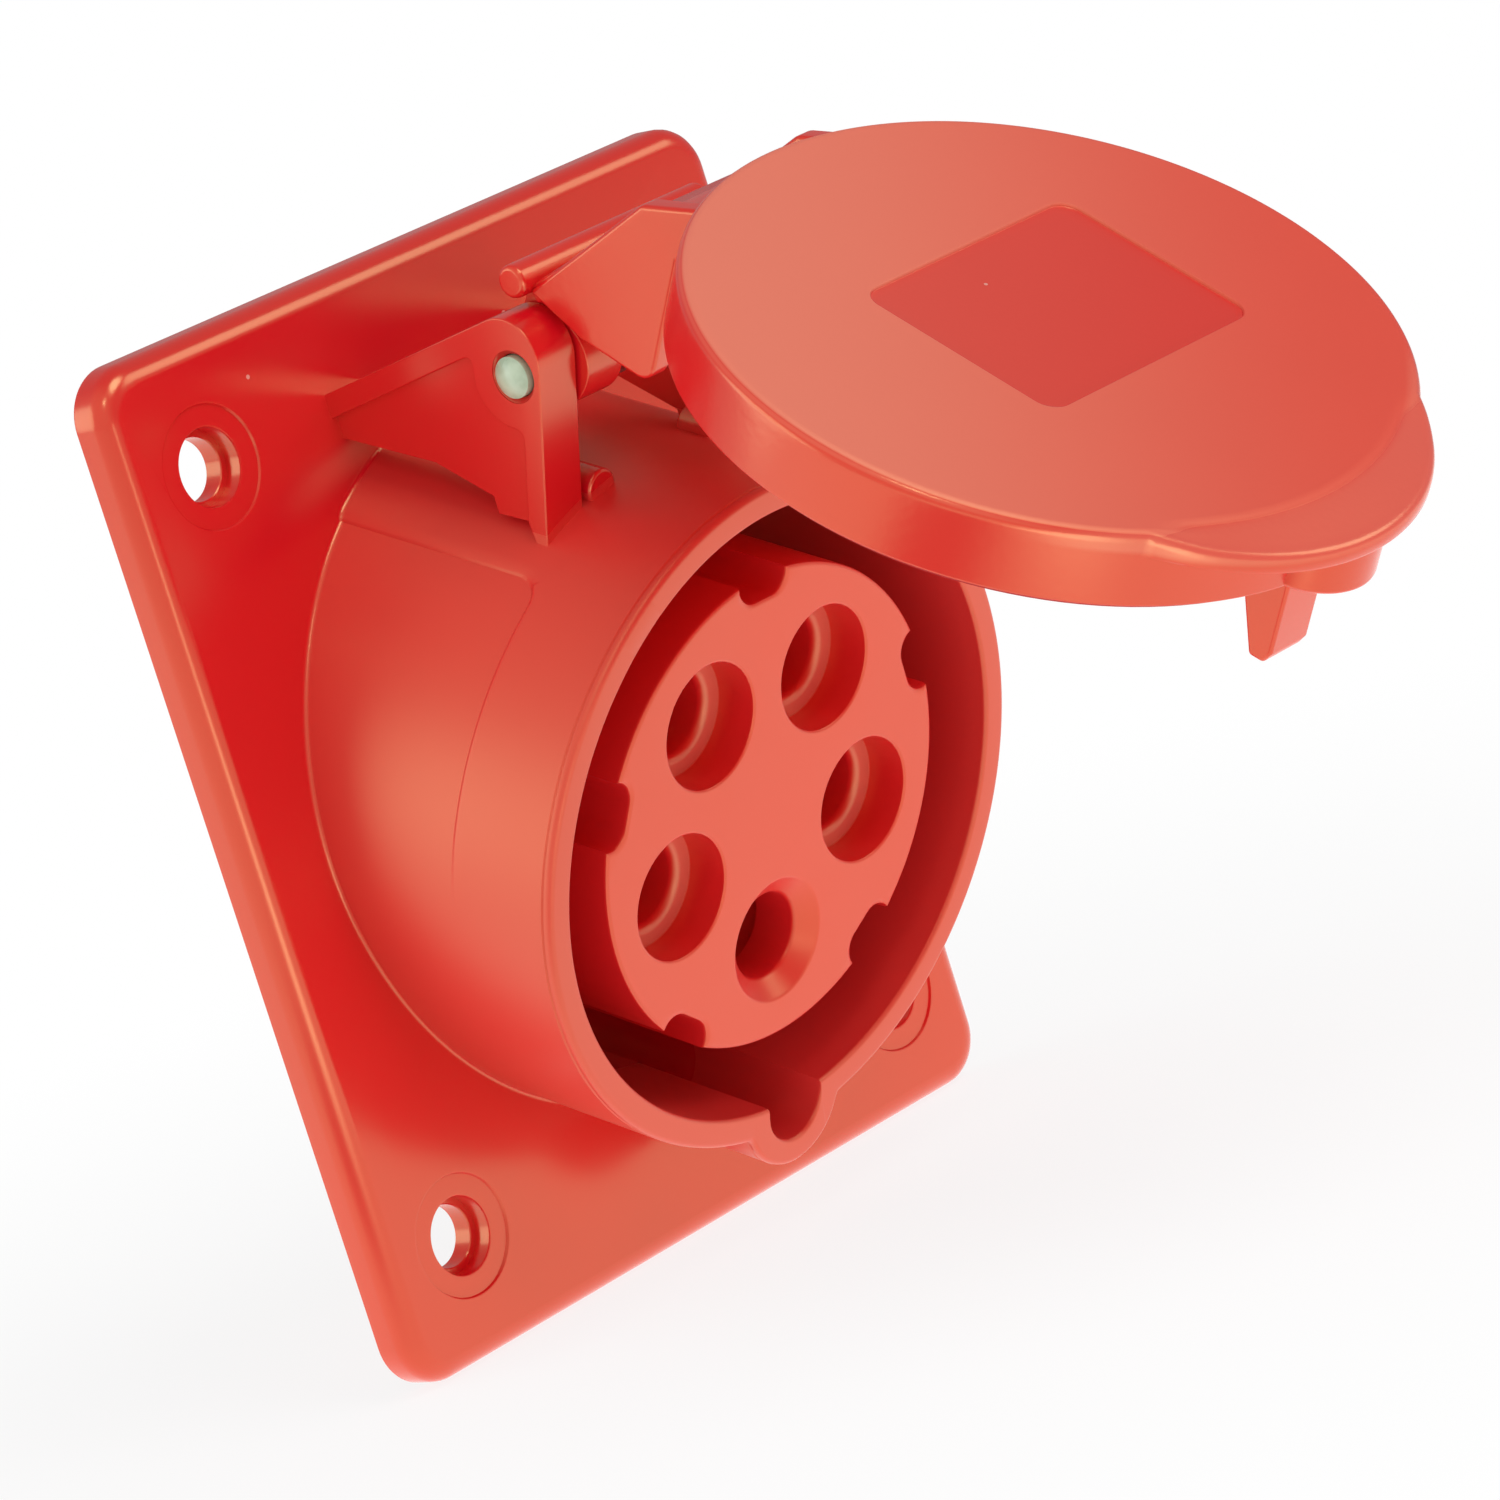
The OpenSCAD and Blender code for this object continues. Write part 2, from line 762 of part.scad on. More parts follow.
// One clamping screw in the side of each terminal barrel
module terminal_screws() {
    color(STEEL)
        socket_frame()
            for (angle = concat(LIVE_ANGLES, EARTH_ANGLE))
                translate(on_circle(contact_circle_r, angle))
                    rotate(angle)
                        translate([terminal_r + seat_clearance, 0, -terminal_screw_back])
                            rotate([0, 90, 0])
                                slotted_screw(screw_r, terminal_r - wire_r, screw_head_r, screw_head_h);
}

// Three screws that hold the terminal plate to the carrier
module plate_screws() {
    color(STEEL)
        socket_frame()
            for (angle = PLATE_SCREW_ANGLES)
                translate(concat(on_circle(plate_screw_circle_r, angle), -plate_back))
                    rotate([180, 0, angle])
                        slotted_screw(plate_screw_r - running_clearance, plate_screw_l - overlap,
                            plate_screw_head_r, plate_screw_head_h);
}

// Round cap with a rounded edge and a hollow underside
module lid_shell() {
    rotate_extrude()
        difference() {
            union() {
                translate([0, lid_low]) square([lid_r - lid_edge_r, lid_h]);
                translate([0, lid_low]) square([lid_r, lid_h - lid_edge_r]);
                intersection() {
                    translate([lid_r - lid_edge_r, lid_face - lid_edge_r]) circle(lid_edge_r);
                    translate([0, lid_low]) square([lid_r, lid_h]);
                }
            }
            translate([0, lid_low - overlap]) square([lid_in_r, lid_h - lid_face_t + overlap]);
        }
}

// The groove for the seal in the lid's rim
module lid_groove() {
    difference() {
        rod(lid_seal_r + lid_seal_w + seat_clearance, lid_low - overlap, lid_low + lid_seal_sink);
        rod(lid_seal_r - seat_clearance, lid_low - 2 * overlap, lid_low + lid_seal_sink + overlap);
    }
}

// Crescent lip for the thumb, with a lug under its middle
module lid_lip() {
    difference() {
        translate([0, lip_u, lid_face - lip_drop - lip_t]) cylinder(r = lip_r, h = lip_t);
        rod(lid_r - overlap, lid_low, lid_face + overlap);
    }
    difference() {
        translate([0, lug_u, 0]) rod(lug_r, lug_low, lid_face - lip_drop - lip_t + overlap);
        rod(lid_r - overlap, lid_low - overlap, lid_face + overlap);
    }
}

// Wedge that drops into the keyway and holds a plug in place
module lid_nose() {
    along_x(-nose_w / 2, nose_w / 2)
        polygon([
            [-nose_out, lid_face - lid_edge_r],
            [-nose_out, lid_seal_gap - 0.6],
            [-nose_out - nose_hook, lid_seal_gap - 0.6 - nose_hook],
            [-nose_out - nose_hook, nose_low + 2 * nose_hook],
            [-nose_out, nose_low],
            [-nose_out + nose_tip_t, nose_low],
            [-nose_out + nose_root_t, lid_low],
            [-nose_out + nose_root_t, lid_face - lid_edge_r]
        ]);
}

// Side view of an arm cheek
module cheek_outline() {
    start_u = lid_r - lid_wall - 0.5;
    difference() {
        union() {
            polygon([
                [start_u, lid_face - lid_edge_r * 0.7],
                [arm_top_u, arm_top],
                [arm_end_u, -arm_end_back],
                [arm_near_u, -arm_near_back],
                [arm_tip_u, -arm_tip_back - arm_tip_r],
                [arm_low_u, -arm_tip_back],
                [arm_low_u, lid_low],
                [start_u, lid_low]
            ]);
            translate([arm_low_u + arm_tip_r, -arm_tip_back]) circle(arm_tip_r);
        }
    }
}

// Side view of the arm's outer wall, from the lid's edge to the hinge
module web_wall_outline() {
    start_u = lid_r - lid_wall - 0.5;
    polygon([
        [start_u, lid_face - lid_edge_r * 0.7],
        [arm_top_u, arm_top],
        [arm_end_u + 1, -arm_end_back + 0.4],
        [arm_end_u - 1, -arm_end_back - 1],
        [arm_top_u - 1.4, arm_top - arm_wall + 0.3],
        [start_u, lid_face - lid_edge_r * 0.7 - arm_wall]
    ]);
}

// Side view of the link from the arm's end to a knuckle
module knuckle_outline() {
    translate([hinge_u, -hinge_back]) circle(knuckle_r);
    polygon([
        [bar_u, -bar_back],
        [hinge_u + knuckle_r, -hinge_back],
        [hinge_u, -hinge_back],
        [hinge_u - 1, -hinge_back + knuckle_r - 0.2],
        [arm_near_u + 1, -arm_near_back]
    ]);
}

// Lid with its arm, knuckles, lip and nose, moulded in one piece
module lid() {
    color(RED)
        lid_frame()
            difference() {
                union() {
                    lid_shell();
                    lid_lip();
                    lid_nose();
                    along_x(-arm_x, arm_x) web_wall_outline();
                    along_x(-bar_x, bar_x) translate([bar_u, -bar_back]) circle(bar_r);
                    both_sides() {
                        along_x(arm_x - arm_wall, arm_x) cheek_outline();
                        along_x(spring_x, knuckle_x) knuckle_outline();
                    }
                }
                translate([square_x, square_u, lid_face - square_depth])
                    linear_extrude(square_depth + overlap)
                        rounded_rectangle(square_w, square_l, 2);
                lid_groove();
                translate([-arm_w, hinge_u, -hinge_back])
                    rotate([0, 90, 0])
                        cylinder(r = pin_r + running_clearance, h = 2 * arm_w);
            }
}

// Soft ring in the lid's rim that meets the mouth
module lid_seal() {
    color(BLACK)
        lid_frame()
            difference() {
                rod(lid_seal_r + lid_seal_w, lid_seal_gap, lid_low + lid_seal_sink - seat_clearance);
                rod(lid_seal_r, lid_seal_gap - overlap, lid_low + lid_seal_sink + overlap);
            }
}

function coil_point(angle, x) = [x, hinge_u + coil_r * cos(angle), -hinge_back + coil_r * sin(angle)];
function coil_way(angle) = [0, -sin(angle), cos(angle)];
function spring_path() =
    let (last = coil_end + 360 * spring_turns,
         count = ceil(rings_per_turn * (last - coil_start) / 360),
         coil = [for (i = [0 : count])
                     coil_point(coil_start + (last - coil_start) * i / count, coil_x * (2 * i / count - 1))])
    concat(
        [coil[0] - housing_leg_l * coil_way(coil_start)],
        coil,
        [coil[count] + lid_leg_l * coil_way(last)]
    );
function way_at(path, i) =
    unit(path[min(i + 1, len(path) - 1)] - path[max(i - 1, 0)]);
function wire_ring(path, i) =
    let (way = way_at(path, i), out = unit(cross(way, [1, 0, 0])), side = cross(way, out))
    [for (k = [0 : ring_sides - 1])
        path[i] + wire_spring_r * (cos(360 * k / ring_sides) * out + sin(360 * k / ring_sides) * side)];

// Torsion spring round the pin, with one leg on the barrel and one under the arm
module lid_spring() {
    path = spring_path();
    last = len(path) - 1;
    points = [for (i = [0 : last]) each wire_ring(path, i)];
    ends = [
        [for (k = [ring_sides - 1 : -1 : 0]) k],
        [for (k = [0 : ring_sides - 1]) last * ring_sides + k]
    ];
    sides = [for (i = [0 : last - 1])
                for (k = [0 : ring_sides - 1])
                    let (a = i * ring_sides + k, b = i * ring_sides + (k + 1) % ring_sides)
                    [a, b, b + ring_sides, a + ring_sides]];
    color(STEEL)
        socket_frame()
            polyhedron(points, concat(ends, sides));
}

// Plain pin with a rounded head at each end
module hinge_pin() {
    half = ear_x + ear_t + 0.2;
    dome = 0.7;
    dome_r = (pin_r * pin_r + dome * dome) / (2 * dome);
    color(GREEN)
        socket_frame()
            translate([0, hinge_u, -hinge_back])
                rotate([0, 90, 0])
                    rotate_extrude() {
                        translate([0, -half]) square([pin_r, 2 * half]);
                        for (side = [0, 1])
                            mirror([0, side])
                                intersection() {
                                    translate([0, half + dome - dome_r]) circle(dome_r);
                                    translate([0, half - dome]) square([pin_r, 2 * dome]);
                                }
                    }
}

housing();
flange_seal();
contact_carrier();
carrier_core();
carrier_disc();
terminal_plate();
contact_l1();
contact_l2();
contact_l3();
contact_n();
contact_earth();
ring_l1();
ring_l2();
ring_l3();
ring_n();
ring_earth();
terminal_screws();
plate_screws();
lid();
lid_seal();
lid_spring();
hinge_pin();
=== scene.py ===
from math import acos, asin, atan2, cos, degrees, pi, radians, sin, sqrt

import bmesh
import bpy
from mathutils import Matrix, Quaternion, Vector


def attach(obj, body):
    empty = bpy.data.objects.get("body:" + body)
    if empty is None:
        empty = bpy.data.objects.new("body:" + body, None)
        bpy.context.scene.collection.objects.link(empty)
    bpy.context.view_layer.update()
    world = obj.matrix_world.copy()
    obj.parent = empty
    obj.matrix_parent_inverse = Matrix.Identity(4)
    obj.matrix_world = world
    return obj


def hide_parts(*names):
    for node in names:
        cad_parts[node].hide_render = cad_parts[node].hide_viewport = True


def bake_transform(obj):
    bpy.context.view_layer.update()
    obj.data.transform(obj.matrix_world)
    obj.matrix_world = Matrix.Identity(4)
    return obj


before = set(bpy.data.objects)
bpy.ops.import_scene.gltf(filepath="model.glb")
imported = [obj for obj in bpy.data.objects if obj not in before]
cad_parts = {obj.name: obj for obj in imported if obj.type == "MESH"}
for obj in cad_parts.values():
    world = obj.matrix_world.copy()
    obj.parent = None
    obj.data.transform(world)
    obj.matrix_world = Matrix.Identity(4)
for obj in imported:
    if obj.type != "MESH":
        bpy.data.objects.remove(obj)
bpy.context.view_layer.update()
scene = bpy.context.scene
scene.view_settings.view_transform = "Standard"

# Camera
# A long lens in front of the socket, to its left and a little above it, as in the photograph.
# The turn is an axis times an angle, for a lens that looks along +Z with +Y downwards.
camera_turn = Vector((1.52268194, -0.907562691, 0.337986341))
camera_place = Vector((-0.489391, -0.532648, 0.131740))
to_view = Quaternion(camera_turn.normalized(), camera_turn.length).to_matrix()
lens_axes = Matrix.Diagonal((1, -1, -1))
camera = bpy.data.objects.new("camera", bpy.data.cameras.new("camera"))
camera.data.lens = 184.45
camera.data.sensor_width = 36
camera.data.sensor_fit = "HORIZONTAL"
camera.data.clip_start = 0.02
camera.matrix_world = (
    Matrix.Translation(camera_place) @ (to_view.transposed() @ lens_axes).to_4x4()
)
scene.collection.objects.link(camera)
scene.camera = camera


# Floor and surround
# A pale studio table under the flange's lower edge, lit through from below, and white all round.
# It runs out to plain white and keeps the soft shadow. Reflections also find a painted shadow in
# the glow on its left and a painted highlight, a bright strip across its front that only
# reflections see, in a surround that is brighter on the left.
class Value:
    """A shader socket that takes part in Python arithmetic through Math nodes."""

    def __init__(self, tree, socket=None):
        self.tree, self.socket = tree, socket

    def node(self, kind, settings=None, inputs=None, out=0):
        made = self.tree.nodes.new(kind)
        for name, value in (settings or {}).items():
            setattr(made, name, value)
        for name, value in (inputs or {}).items():
            if isinstance(value, Value):
                self.tree.links.new(value.socket, made.inputs[name])
            else:
                made.inputs[name].default_value = value
        return Value(self.tree, made.outputs[out] if made.outputs else None)

    def math(self, operation, first, second):
        return self.node("ShaderNodeMath", {"operation": operation}, {0: first, 1: second})

    def __add__(self, other):
        return self.math("ADD", self, other)

    def __radd__(self, other):
        return self.math("ADD", other, self)

    def __sub__(self, other):
        return self.math("SUBTRACT", self, other)

    def __rsub__(self, other):
        return self.math("SUBTRACT", other, self)

    def __mul__(self, other):
        return self.math("MULTIPLY", self, other)

    def __rmul__(self, other):
        return self.math("MULTIPLY", other, self)

    def __gt__(self, other):
        return self.math("GREATER_THAN", self, other)

    def __lt__(self, other):
        return self.math("LESS_THAN", self, other)

    def highest(self, other):
        return self.math("MAXIMUM", self, other)

    def ease(self, low, high):
        """Rises smoothly from 0 at low to 1 at high."""
        return self.node(
            "ShaderNodeMapRange", {"interpolation_type": "SMOOTHSTEP"},
            {0: self, 1: low, 2: high})


def fresh_tree(holder):
    holder.use_nodes = True
    holder.node_tree.nodes.clear()
    return Value(holder.node_tree)


def ray(tree, kind):
    return tree.node("ShaderNodeLightPath", out="Is " + kind + " Ray")


def axes(tree, place, names):
    """The named coordinates of a place."""
    return [tree.node("ShaderNodeSeparateXYZ", inputs={0: place}, out=name) for name in names]


def distance(tree, place, centre):
    return tree.node(
        "ShaderNodeVectorMath", {"operation": "DISTANCE"}, {0: place, 1: centre}, out="Value")


floor_drop, floor_r = 0.0503, 1.6
floor_mesh = bmesh.new()
bmesh.ops.create_circle(floor_mesh, cap_ends=True, segments=96, radius=floor_r)
bmesh.ops.translate(floor_mesh, verts=floor_mesh.verts, vec=(0, 0, -floor_drop))
floor = bpy.data.objects.new("floor", bpy.data.meshes.new("floor"))
floor_mesh.to_mesh(floor.data)
floor_mesh.free()
scene.collection.objects.link(floor)

table_white = bpy.data.materials.new("table_white")
tree = fresh_tree(table_white)
spot = tree.node("ShaderNodeTexCoord", out="Object")
away = distance(tree, spot, (0, 0, 0)).ease(0.05, 0.2)
lit_table = tree.node("ShaderNodeBsdfDiffuse", inputs={"Color": (0.86, 0.86, 0.86, 1)})
plain_white = tree.node("ShaderNodeEmission", inputs={"Strength": 1})
near_white = 0.85
seen = tree.node("ShaderNodeMixShader", inputs={
    0: near_white + (1 - near_white) * away, 1: lit_table, 2: plain_white})
# Painted shadow: the table's glow, which every ray but the camera's sees, is dimmed round a spot on
# its left.
painted_shadow_middle, lit_middle = (-0.135, -0.065, -floor_drop), (-0.15, 0.1, -floor_drop)
clear = distance(tree, spot, painted_shadow_middle).ease(0.02, 0.08)
far = distance(tree, spot, lit_middle).ease(0.4, 0.7)
# Painted highlight: a bright strip in the table's glow that only glossy rays see, for the glint
# along the flange's left edge.
strip_root, strip_slant, strip_half, strip_core = -0.042, 0.42, 0.06, 0.02
x, y = axes(tree, spot, "XY")
across = x - strip_slant * y - strip_root
strip = across.ease(-strip_half, -strip_core) * across.ease(strip_half, strip_core)
strip = strip * y.ease(-0.1, -0.15) * ray(tree, "Glossy")
painted_shadow_level, far_fall, strip_level = 0.3, 0.6, 3
glow = tree.node("ShaderNodeEmission", inputs={
    "Strength": (painted_shadow_level + clear) * (1 - far_fall * far) + strip_level * strip})
table = tree.node("ShaderNodeMixShader", inputs={0: ray(tree, "Camera"), 1: glow, 2: seen})
tree.node("ShaderNodeOutputMaterial", inputs={0: table})
floor.data.materials.append(table_white)

surround = bpy.data.worlds.new("surround")
scene.world = surround
tree = fresh_tree(surround)
way = tree.node("ShaderNodeTexCoord", out="Generated")
right_level, left_gain, glossy_level = 0.2, 0.6, 0.35
level = right_level + left_gain * axes(tree, way, "X")[0].ease(0.2, -0.8)
level = level.highest(ray(tree, "Camera")).highest(glossy_level * ray(tree, "Glossy"))
white_air = tree.node("ShaderNodeBackground", inputs={0: (1, 1, 1, 1), 1: level})
tree.node("ShaderNodeOutputWorld", inputs={0: white_air})


# Lamps
# Four soft boxes: a small one high on the left, a broad one low on the left behind the flange,
# one in front on the right, and one overhead in front, which lights the lid's face.
def soft_box(name, place, size, power):
    lamp = bpy.data.objects.new(name, bpy.data.lights.new(name, "AREA"))
    lamp.data.shape = "DISK"
    lamp.data.size = size
    lamp.data.energy = power
    lamp.location = place
    lamp.rotation_mode = "QUATERNION"
    lamp.rotation_quaternion = (aim - Vector(place)).to_track_quat("-Z", "Y")
    scene.collection.objects.link(lamp)


aim = Vector((0, -0.04, 0))
soft_box("left_light", (-0.75, -0.65, 0.85), 0.22, 0.9)
soft_box("back_light", (-0.9, 0.85, 0.3), 0.9, 3.6)
soft_box("right_light", (0.8, -0.9, 0.6), 0.7, 3)
soft_box("top_light", (0.05, -0.65, 0.9), 0.6, 4.4)


# Housing
# Oblong flange, tilted round barrel and hinge ears, moulded in one piece of red thermoplastic.
# Its skin runs on from the bore over the mouth and down to the flange. Sizes are millimetres:
# x goes across, u up the tilted mouth and a out along the barrel, with the mouth at a = 0.
tilt = radians(20)
mouth_out, mouth_drop = 30.3, 9.3
mm = Matrix.Scale(0.001, 4)
barrel_frame = (
    mm @ Matrix.Translation((0, -mouth_out, -mouth_drop)) @ Matrix.Rotation(pi / 2 + tilt, 4, "X")
)


def from_barrel(x, u, a):
    """A place given across and along the tilted barrel, in the flange's frame."""
    return Vector((
        x,
        -mouth_out - sin(tilt) * u - cos(tilt) * a,
        -mouth_drop + cos(tilt) * u - sin(tilt) * a,
    ))


def from_flange(y, z):
    """A place given in the flange's frame, as (u, a) of the tilted barrel."""
    y, z = y + mouth_out, z + mouth_drop
    return -y * sin(tilt) + z * cos(tilt), -y * cos(tilt) - z * sin(tilt)


def made_of(geometry, kind):
    return [g for g in geometry if isinstance(g, kind)]


def ring_edges(bm, ring):
    return [bm.edges.get((ring[i - 1], ring[i])) for i in range(len(ring))]


def grow(bm, stages):
    """Extrudes a closed ring through the stages, and gives its first and last ring."""
    ring = bmesh.ops.create_circle(bm, segments=len(stages[0]))["verts"]
    first = ring
    for number, stage in enumerate(stages):
        if number:
            made = bmesh.ops.extrude_edge_only(bm, edges=ring_edges(bm, ring))["geom"]
            new = set(made_of(made, bmesh.types.BMVert))
            ring = [
                next(o for o in (e.other_vert(v) for e in v.link_edges) if o in new) for v in ring
            ]
        for v, place in zip(ring, stage):
            v.co = place
    return first, ring


def close_flat(bm, rings, facing):
    edges = [e for ring in rings for e in ring_edges(bm, ring)]
    bmesh.ops.triangle_fill(bm, use_beauty=True, edges=edges, normal=facing)


def piece(name, bm, place):
    """Merges a mesh's doubles, turns its faces outwards, puts it in its place and links it."""
    bmesh.ops.remove_doubles(bm, verts=bm.verts, dist=0.0005)
    bmesh.ops.recalc_face_normals(bm, faces=bm.faces)
    bm.transform(place)
    made = bpy.data.objects.new(name, bpy.data.meshes.new(name))
    bm.to_mesh(made.data)
    bm.free()
    scene.collection.objects.link(made)
    return made


def round_edges(bm, edge, least_angle=0.5):
    """Rounds the edges where two faces meet at more than an angle, given in radians."""
    sharp = [e for e in bm.edges if e.is_manifold and e.calc_face_angle() > least_angle]
    bmesh.ops.bevel(
        bm, geom=sharp, offset=edge, offset_type="OFFSET", segments=3, profile=0.5,
        affect="EDGES", clamp_overlap=True, material=-1,
    )


def prism(name, outline, way, edge, place):
    """A flat outline, thickened along a way, with rounded edges."""
    bm = bmesh.new()
    face = bm.faces.new([bm.verts.new(point) for point in outline])
    made = bmesh.ops.extrude_face_region(bm, geom=[face], use_keep_orig=True)["geom"]
    bmesh.ops.translate(bm, verts=made_of(made, bmesh.types.BMVert), vec=way)
    bmesh.ops.recalc_face_normals(bm, faces=bm.faces)
    round_edges(bm, edge)
    return piece(name, bm, place)


def slab(name, outline, low, high, edge, place):
    """A side view of (u, a) points, from low to high along x."""
    return prism(name, [(low, u, a) for u, a in outline], (high - low, 0, 0), edge, place)


def rod(name, r, length, centre, place, edge=0, segments=64, across=True):
    """A round bar, which lies along x where it goes across, and otherwise along the barrel."""
    bm = bmesh.new()
    bmesh.ops.create_cone(
        bm, cap_ends=True, segments=segments, radius1=r, radius2=r, depth=length)
    if edge:
        round_edges(bm, edge)
    if across:
        bmesh.ops.rotate(bm, verts=bm.verts, matrix=Matrix.Rotation(pi / 2, 3, "Y"))
    bmesh.ops.translate(bm, verts=bm.verts, vec=centre)
    return piece(name, bm, place)


def arc(centre, r, start, stop, steps):
    return [
        (centre[0] + r * cos(radians(start + (stop - start) * i / steps)),
         centre[1] + r * sin(radians(start + (stop - start) * i / steps)))
        for i in range(steps + 1)
    ]


def circle(centre, r, count):
    return arc(centre, r, 0, 360, count)[:-1]


def rounded_box(centre, w, h, corner, steps):
    """Outline of a rectangle with round corners, from half its width and height."""
    return [
        point
        for q, (sx, sz) in enumerate(((1, 1), (-1, 1), (-1, -1), (1, -1)))
        for point in arc(
            (centre[0] + sx * (w - corner), centre[1] + sz * (h - corner)),
            corner, 90 * q, 90 * q + 90, steps)
    ]


def mould(body, parts, bores):
    """Joins the parts to the body in one skin and cuts the bores."""
    for part in [*parts, *bores]:
        step = body.modifiers.new(part.name, "BOOLEAN")
        step.object = part
        step.operation = "UNION" if part in parts else "DIFFERENCE"
        step.solver = "MANIFOLD"
    moulded = body.evaluated_get(bpy.context.evaluated_depsgraph_get())
    body.data = bpy.data.meshes.new_from_object(moulded)
    body.modifiers.clear()
    for part in [*parts, *bores]:
        bpy.data.objects.remove(part)


def shade(body, finish, crease=35):
    """Gives a piece its finish, smooth except where its faces meet at more than the crease."""
    body.data.materials.clear()
    body.data.materials.append(finish)
    body.data.polygons.foreach_set("use_smooth", [True] * len(body.data.polygons))
    body.data.set_sharp_from_angle(angle=radians(crease))
    even = body.modifiers.new("even_shading", "WEIGHTED_NORMAL")
    even.keep_sharp = True
    even.weight = 100


mouth_r, barrel_r, seat_r, end_r = 30.0, 32.8, 31.0, 32.5
well_depth, barrel_back, bore_middle = 30.0, 37.75, 12
key_u, key_r, bump_r, end_bump_r = 30.5, 3.75, 6.35, 6.05
flange_w, flange_h, flange_t, flange_edge, flange_corner = 84.0, 100.0, 4.5, 2.2, 5
panel_front, panel_depth, panel_corner = 12.1, 0.42, 2.5
panel_top, panel_low, panel_fade = 145.0, 60, 1.6
top_ridge, front_ridge = 1.4, 0.55
foot, lip_in, lip_out = 0.5, 0.45, 0.6

# Places round the barrel, in degrees from the keyway, closer where the form changes
key_places = [
    degrees(atan2(key_r * sin(radians(w)), key_u + key_r * cos(radians(w))))
    for w in range(0, 91, 10)
]
key_side = degrees(asin(key_r / mouth_r))
half = [
    *key_places, key_side,
    *[7.5 + 0.5 * i for i in range(14)],
    *[15 + 1.5 * i for i in range(83)],
    *[139 + 0.25 * i for i in range(37)],
    *[149 + 1.5 * i for i in range(21)],
]
around = [*half, 180, *[-t for t in reversed(half[1:])]]


def bore_r(t):
    """Inner radius, with the keyway."""
    s = abs(sin(radians(t)))
    if abs(t) >= key_side:
        return mouth_r
    if abs(t) > key_places[-1] - 1e-6:
        return key_r / s
    return key_u * cos(radians(t)) + sqrt(max(0, key_r ** 2 - (key_u * s) ** 2))


def skin_r(t, body_r=barrel_r, lobe_r=bump_r, blend=0.9):
    """Outer radius, with the bulge that covers the keyway run softly into the round."""
    reach = lobe_r ** 2 - (key_u * sin(radians(t))) ** 2
    if abs(t) > 90 or reach <= 0:
        return body_r
    lobe = key_u * cos(radians(t)) + sqrt(reach)
    near = max(blend - abs(lobe - body_r), 0) / blend
    return max(lobe, body_r) + near * near * blend / 4


def back_r(t):
    """Outer radius behind the flange."""
    return skin_r(t, end_r, end_bump_r)


def panel_fall(t, a):
    """How deep the shallow side panel lies under the barrel's round at a place."""
    side = abs(t)
    if side <= panel_low:
        return 0
    depth = panel_depth * max(0, cos(radians((panel_top - side) * panel_fade)))
    down = radians(panel_top - side) * barrel_r
    back = -panel_front - a
    corner = min(down, back)
    if down < panel_corner and back < panel_corner:
        corner = panel_corner - sqrt((panel_corner - down) ** 2 + (panel_corner - back) ** 2)
    ridge = top_ridge if down < back else front_ridge
    if corner >= 0:
        return depth
    if corner <= -ridge:
        return 0
    return depth * (1 - sqrt(1 - (1 + corner / ridge) ** 2))


def on_skin(t, r, a):
    return from_barrel(r * sin(radians(t)), -r * cos(radians(t)), a)


def where_plane(t, r, y):
    """Depth at which a line along the barrel meets the plane at that distance from the panel."""
    return (-mouth_out - y + sin(tilt) * r * cos(radians(t))) / cos(tilt)


def ring_at(radius, depth):
    return [on_skin(t, radius(t), depth(t)) for t in around]


def wall_ring(sink, a):
    """A ring of the outer wall, sunk a little, which goes no deeper than the foot."""
    def depth(t):
        return max(a, where_plane(t, skin_r(t), -flange_t) + foot)

    return ring_at(lambda t: skin_r(t) - sink - panel_fall(t, depth(t)), depth)


def foot_ring(share):
    """A ring of the small round from the barrel, at 0, to the flange, at 1."""
    ring = []
    for t in around:
        r = skin_r(t) - panel_fall(t, -well_depth)
        root = on_skin(t, r, where_plane(t, r, -flange_t))
        out = Vector((sin(radians(t)), 0, -cos(tilt) * cos(radians(t)))).normalized()
        up = on_skin(t, r, where_plane(t, r, -flange_t) + foot) - root
        ring.append(root + up * (1 - share) ** 2 + out * foot * share ** 2)
    return ring


stages = [
    ring_at(back_r, lambda t: where_plane(t, back_r(t), 0)),
    ring_at(back_r, lambda t: min(-barrel_back, where_plane(t, back_r(t), 0))),
    ring_at(lambda t: seat_r, lambda t: min(-barrel_back, where_plane(t, seat_r, 0))),
    ring_at(lambda t: seat_r, lambda t: -well_depth),
    ring_at(bore_r, lambda t: -well_depth),
    ring_at(bore_r, lambda t: -bore_middle),
]
for w in (0, 30, 60, 90):
    stages.append(ring_at(
        lambda t: bore_r(t) + lip_in * (1 - cos(radians(w))),
        lambda t: -lip_in * (1 - sin(radians(w)))))
for w in (0, 30, 60, 90):
    stages.append(ring_at(
        lambda t: skin_r(t) - lip_out * (1 - sin(radians(w))),
        lambda t: -lip_out * (1 - cos(radians(w)))))
bead = [(0, -0.8), (0.14, -0.92), (0.14, -1.06), (0, -1.2), (0, -4), (0, -8)]
panel_levels = [(0, -11 - 0.16 * i) for i in range(32)]
plain_levels = [(0, -17 - 1.5 * i) for i in range(16)]
stages += [wall_ring(sink, a) for sink, a in (*bead, *panel_levels, *plain_levels)]
stages += [foot_ring(step / 5) for step in range(6)]
housing_mesh = bmesh.new()
back_ring, front_ring = grow(housing_mesh, stages)


def plate_ring(inset, y, corner):
    outline = rounded_box((0, 0), flange_w / 2 - inset, flange_h / 2 - inset, corner, 14)
    return [Vector((x, y, z)) for x, z in outline]


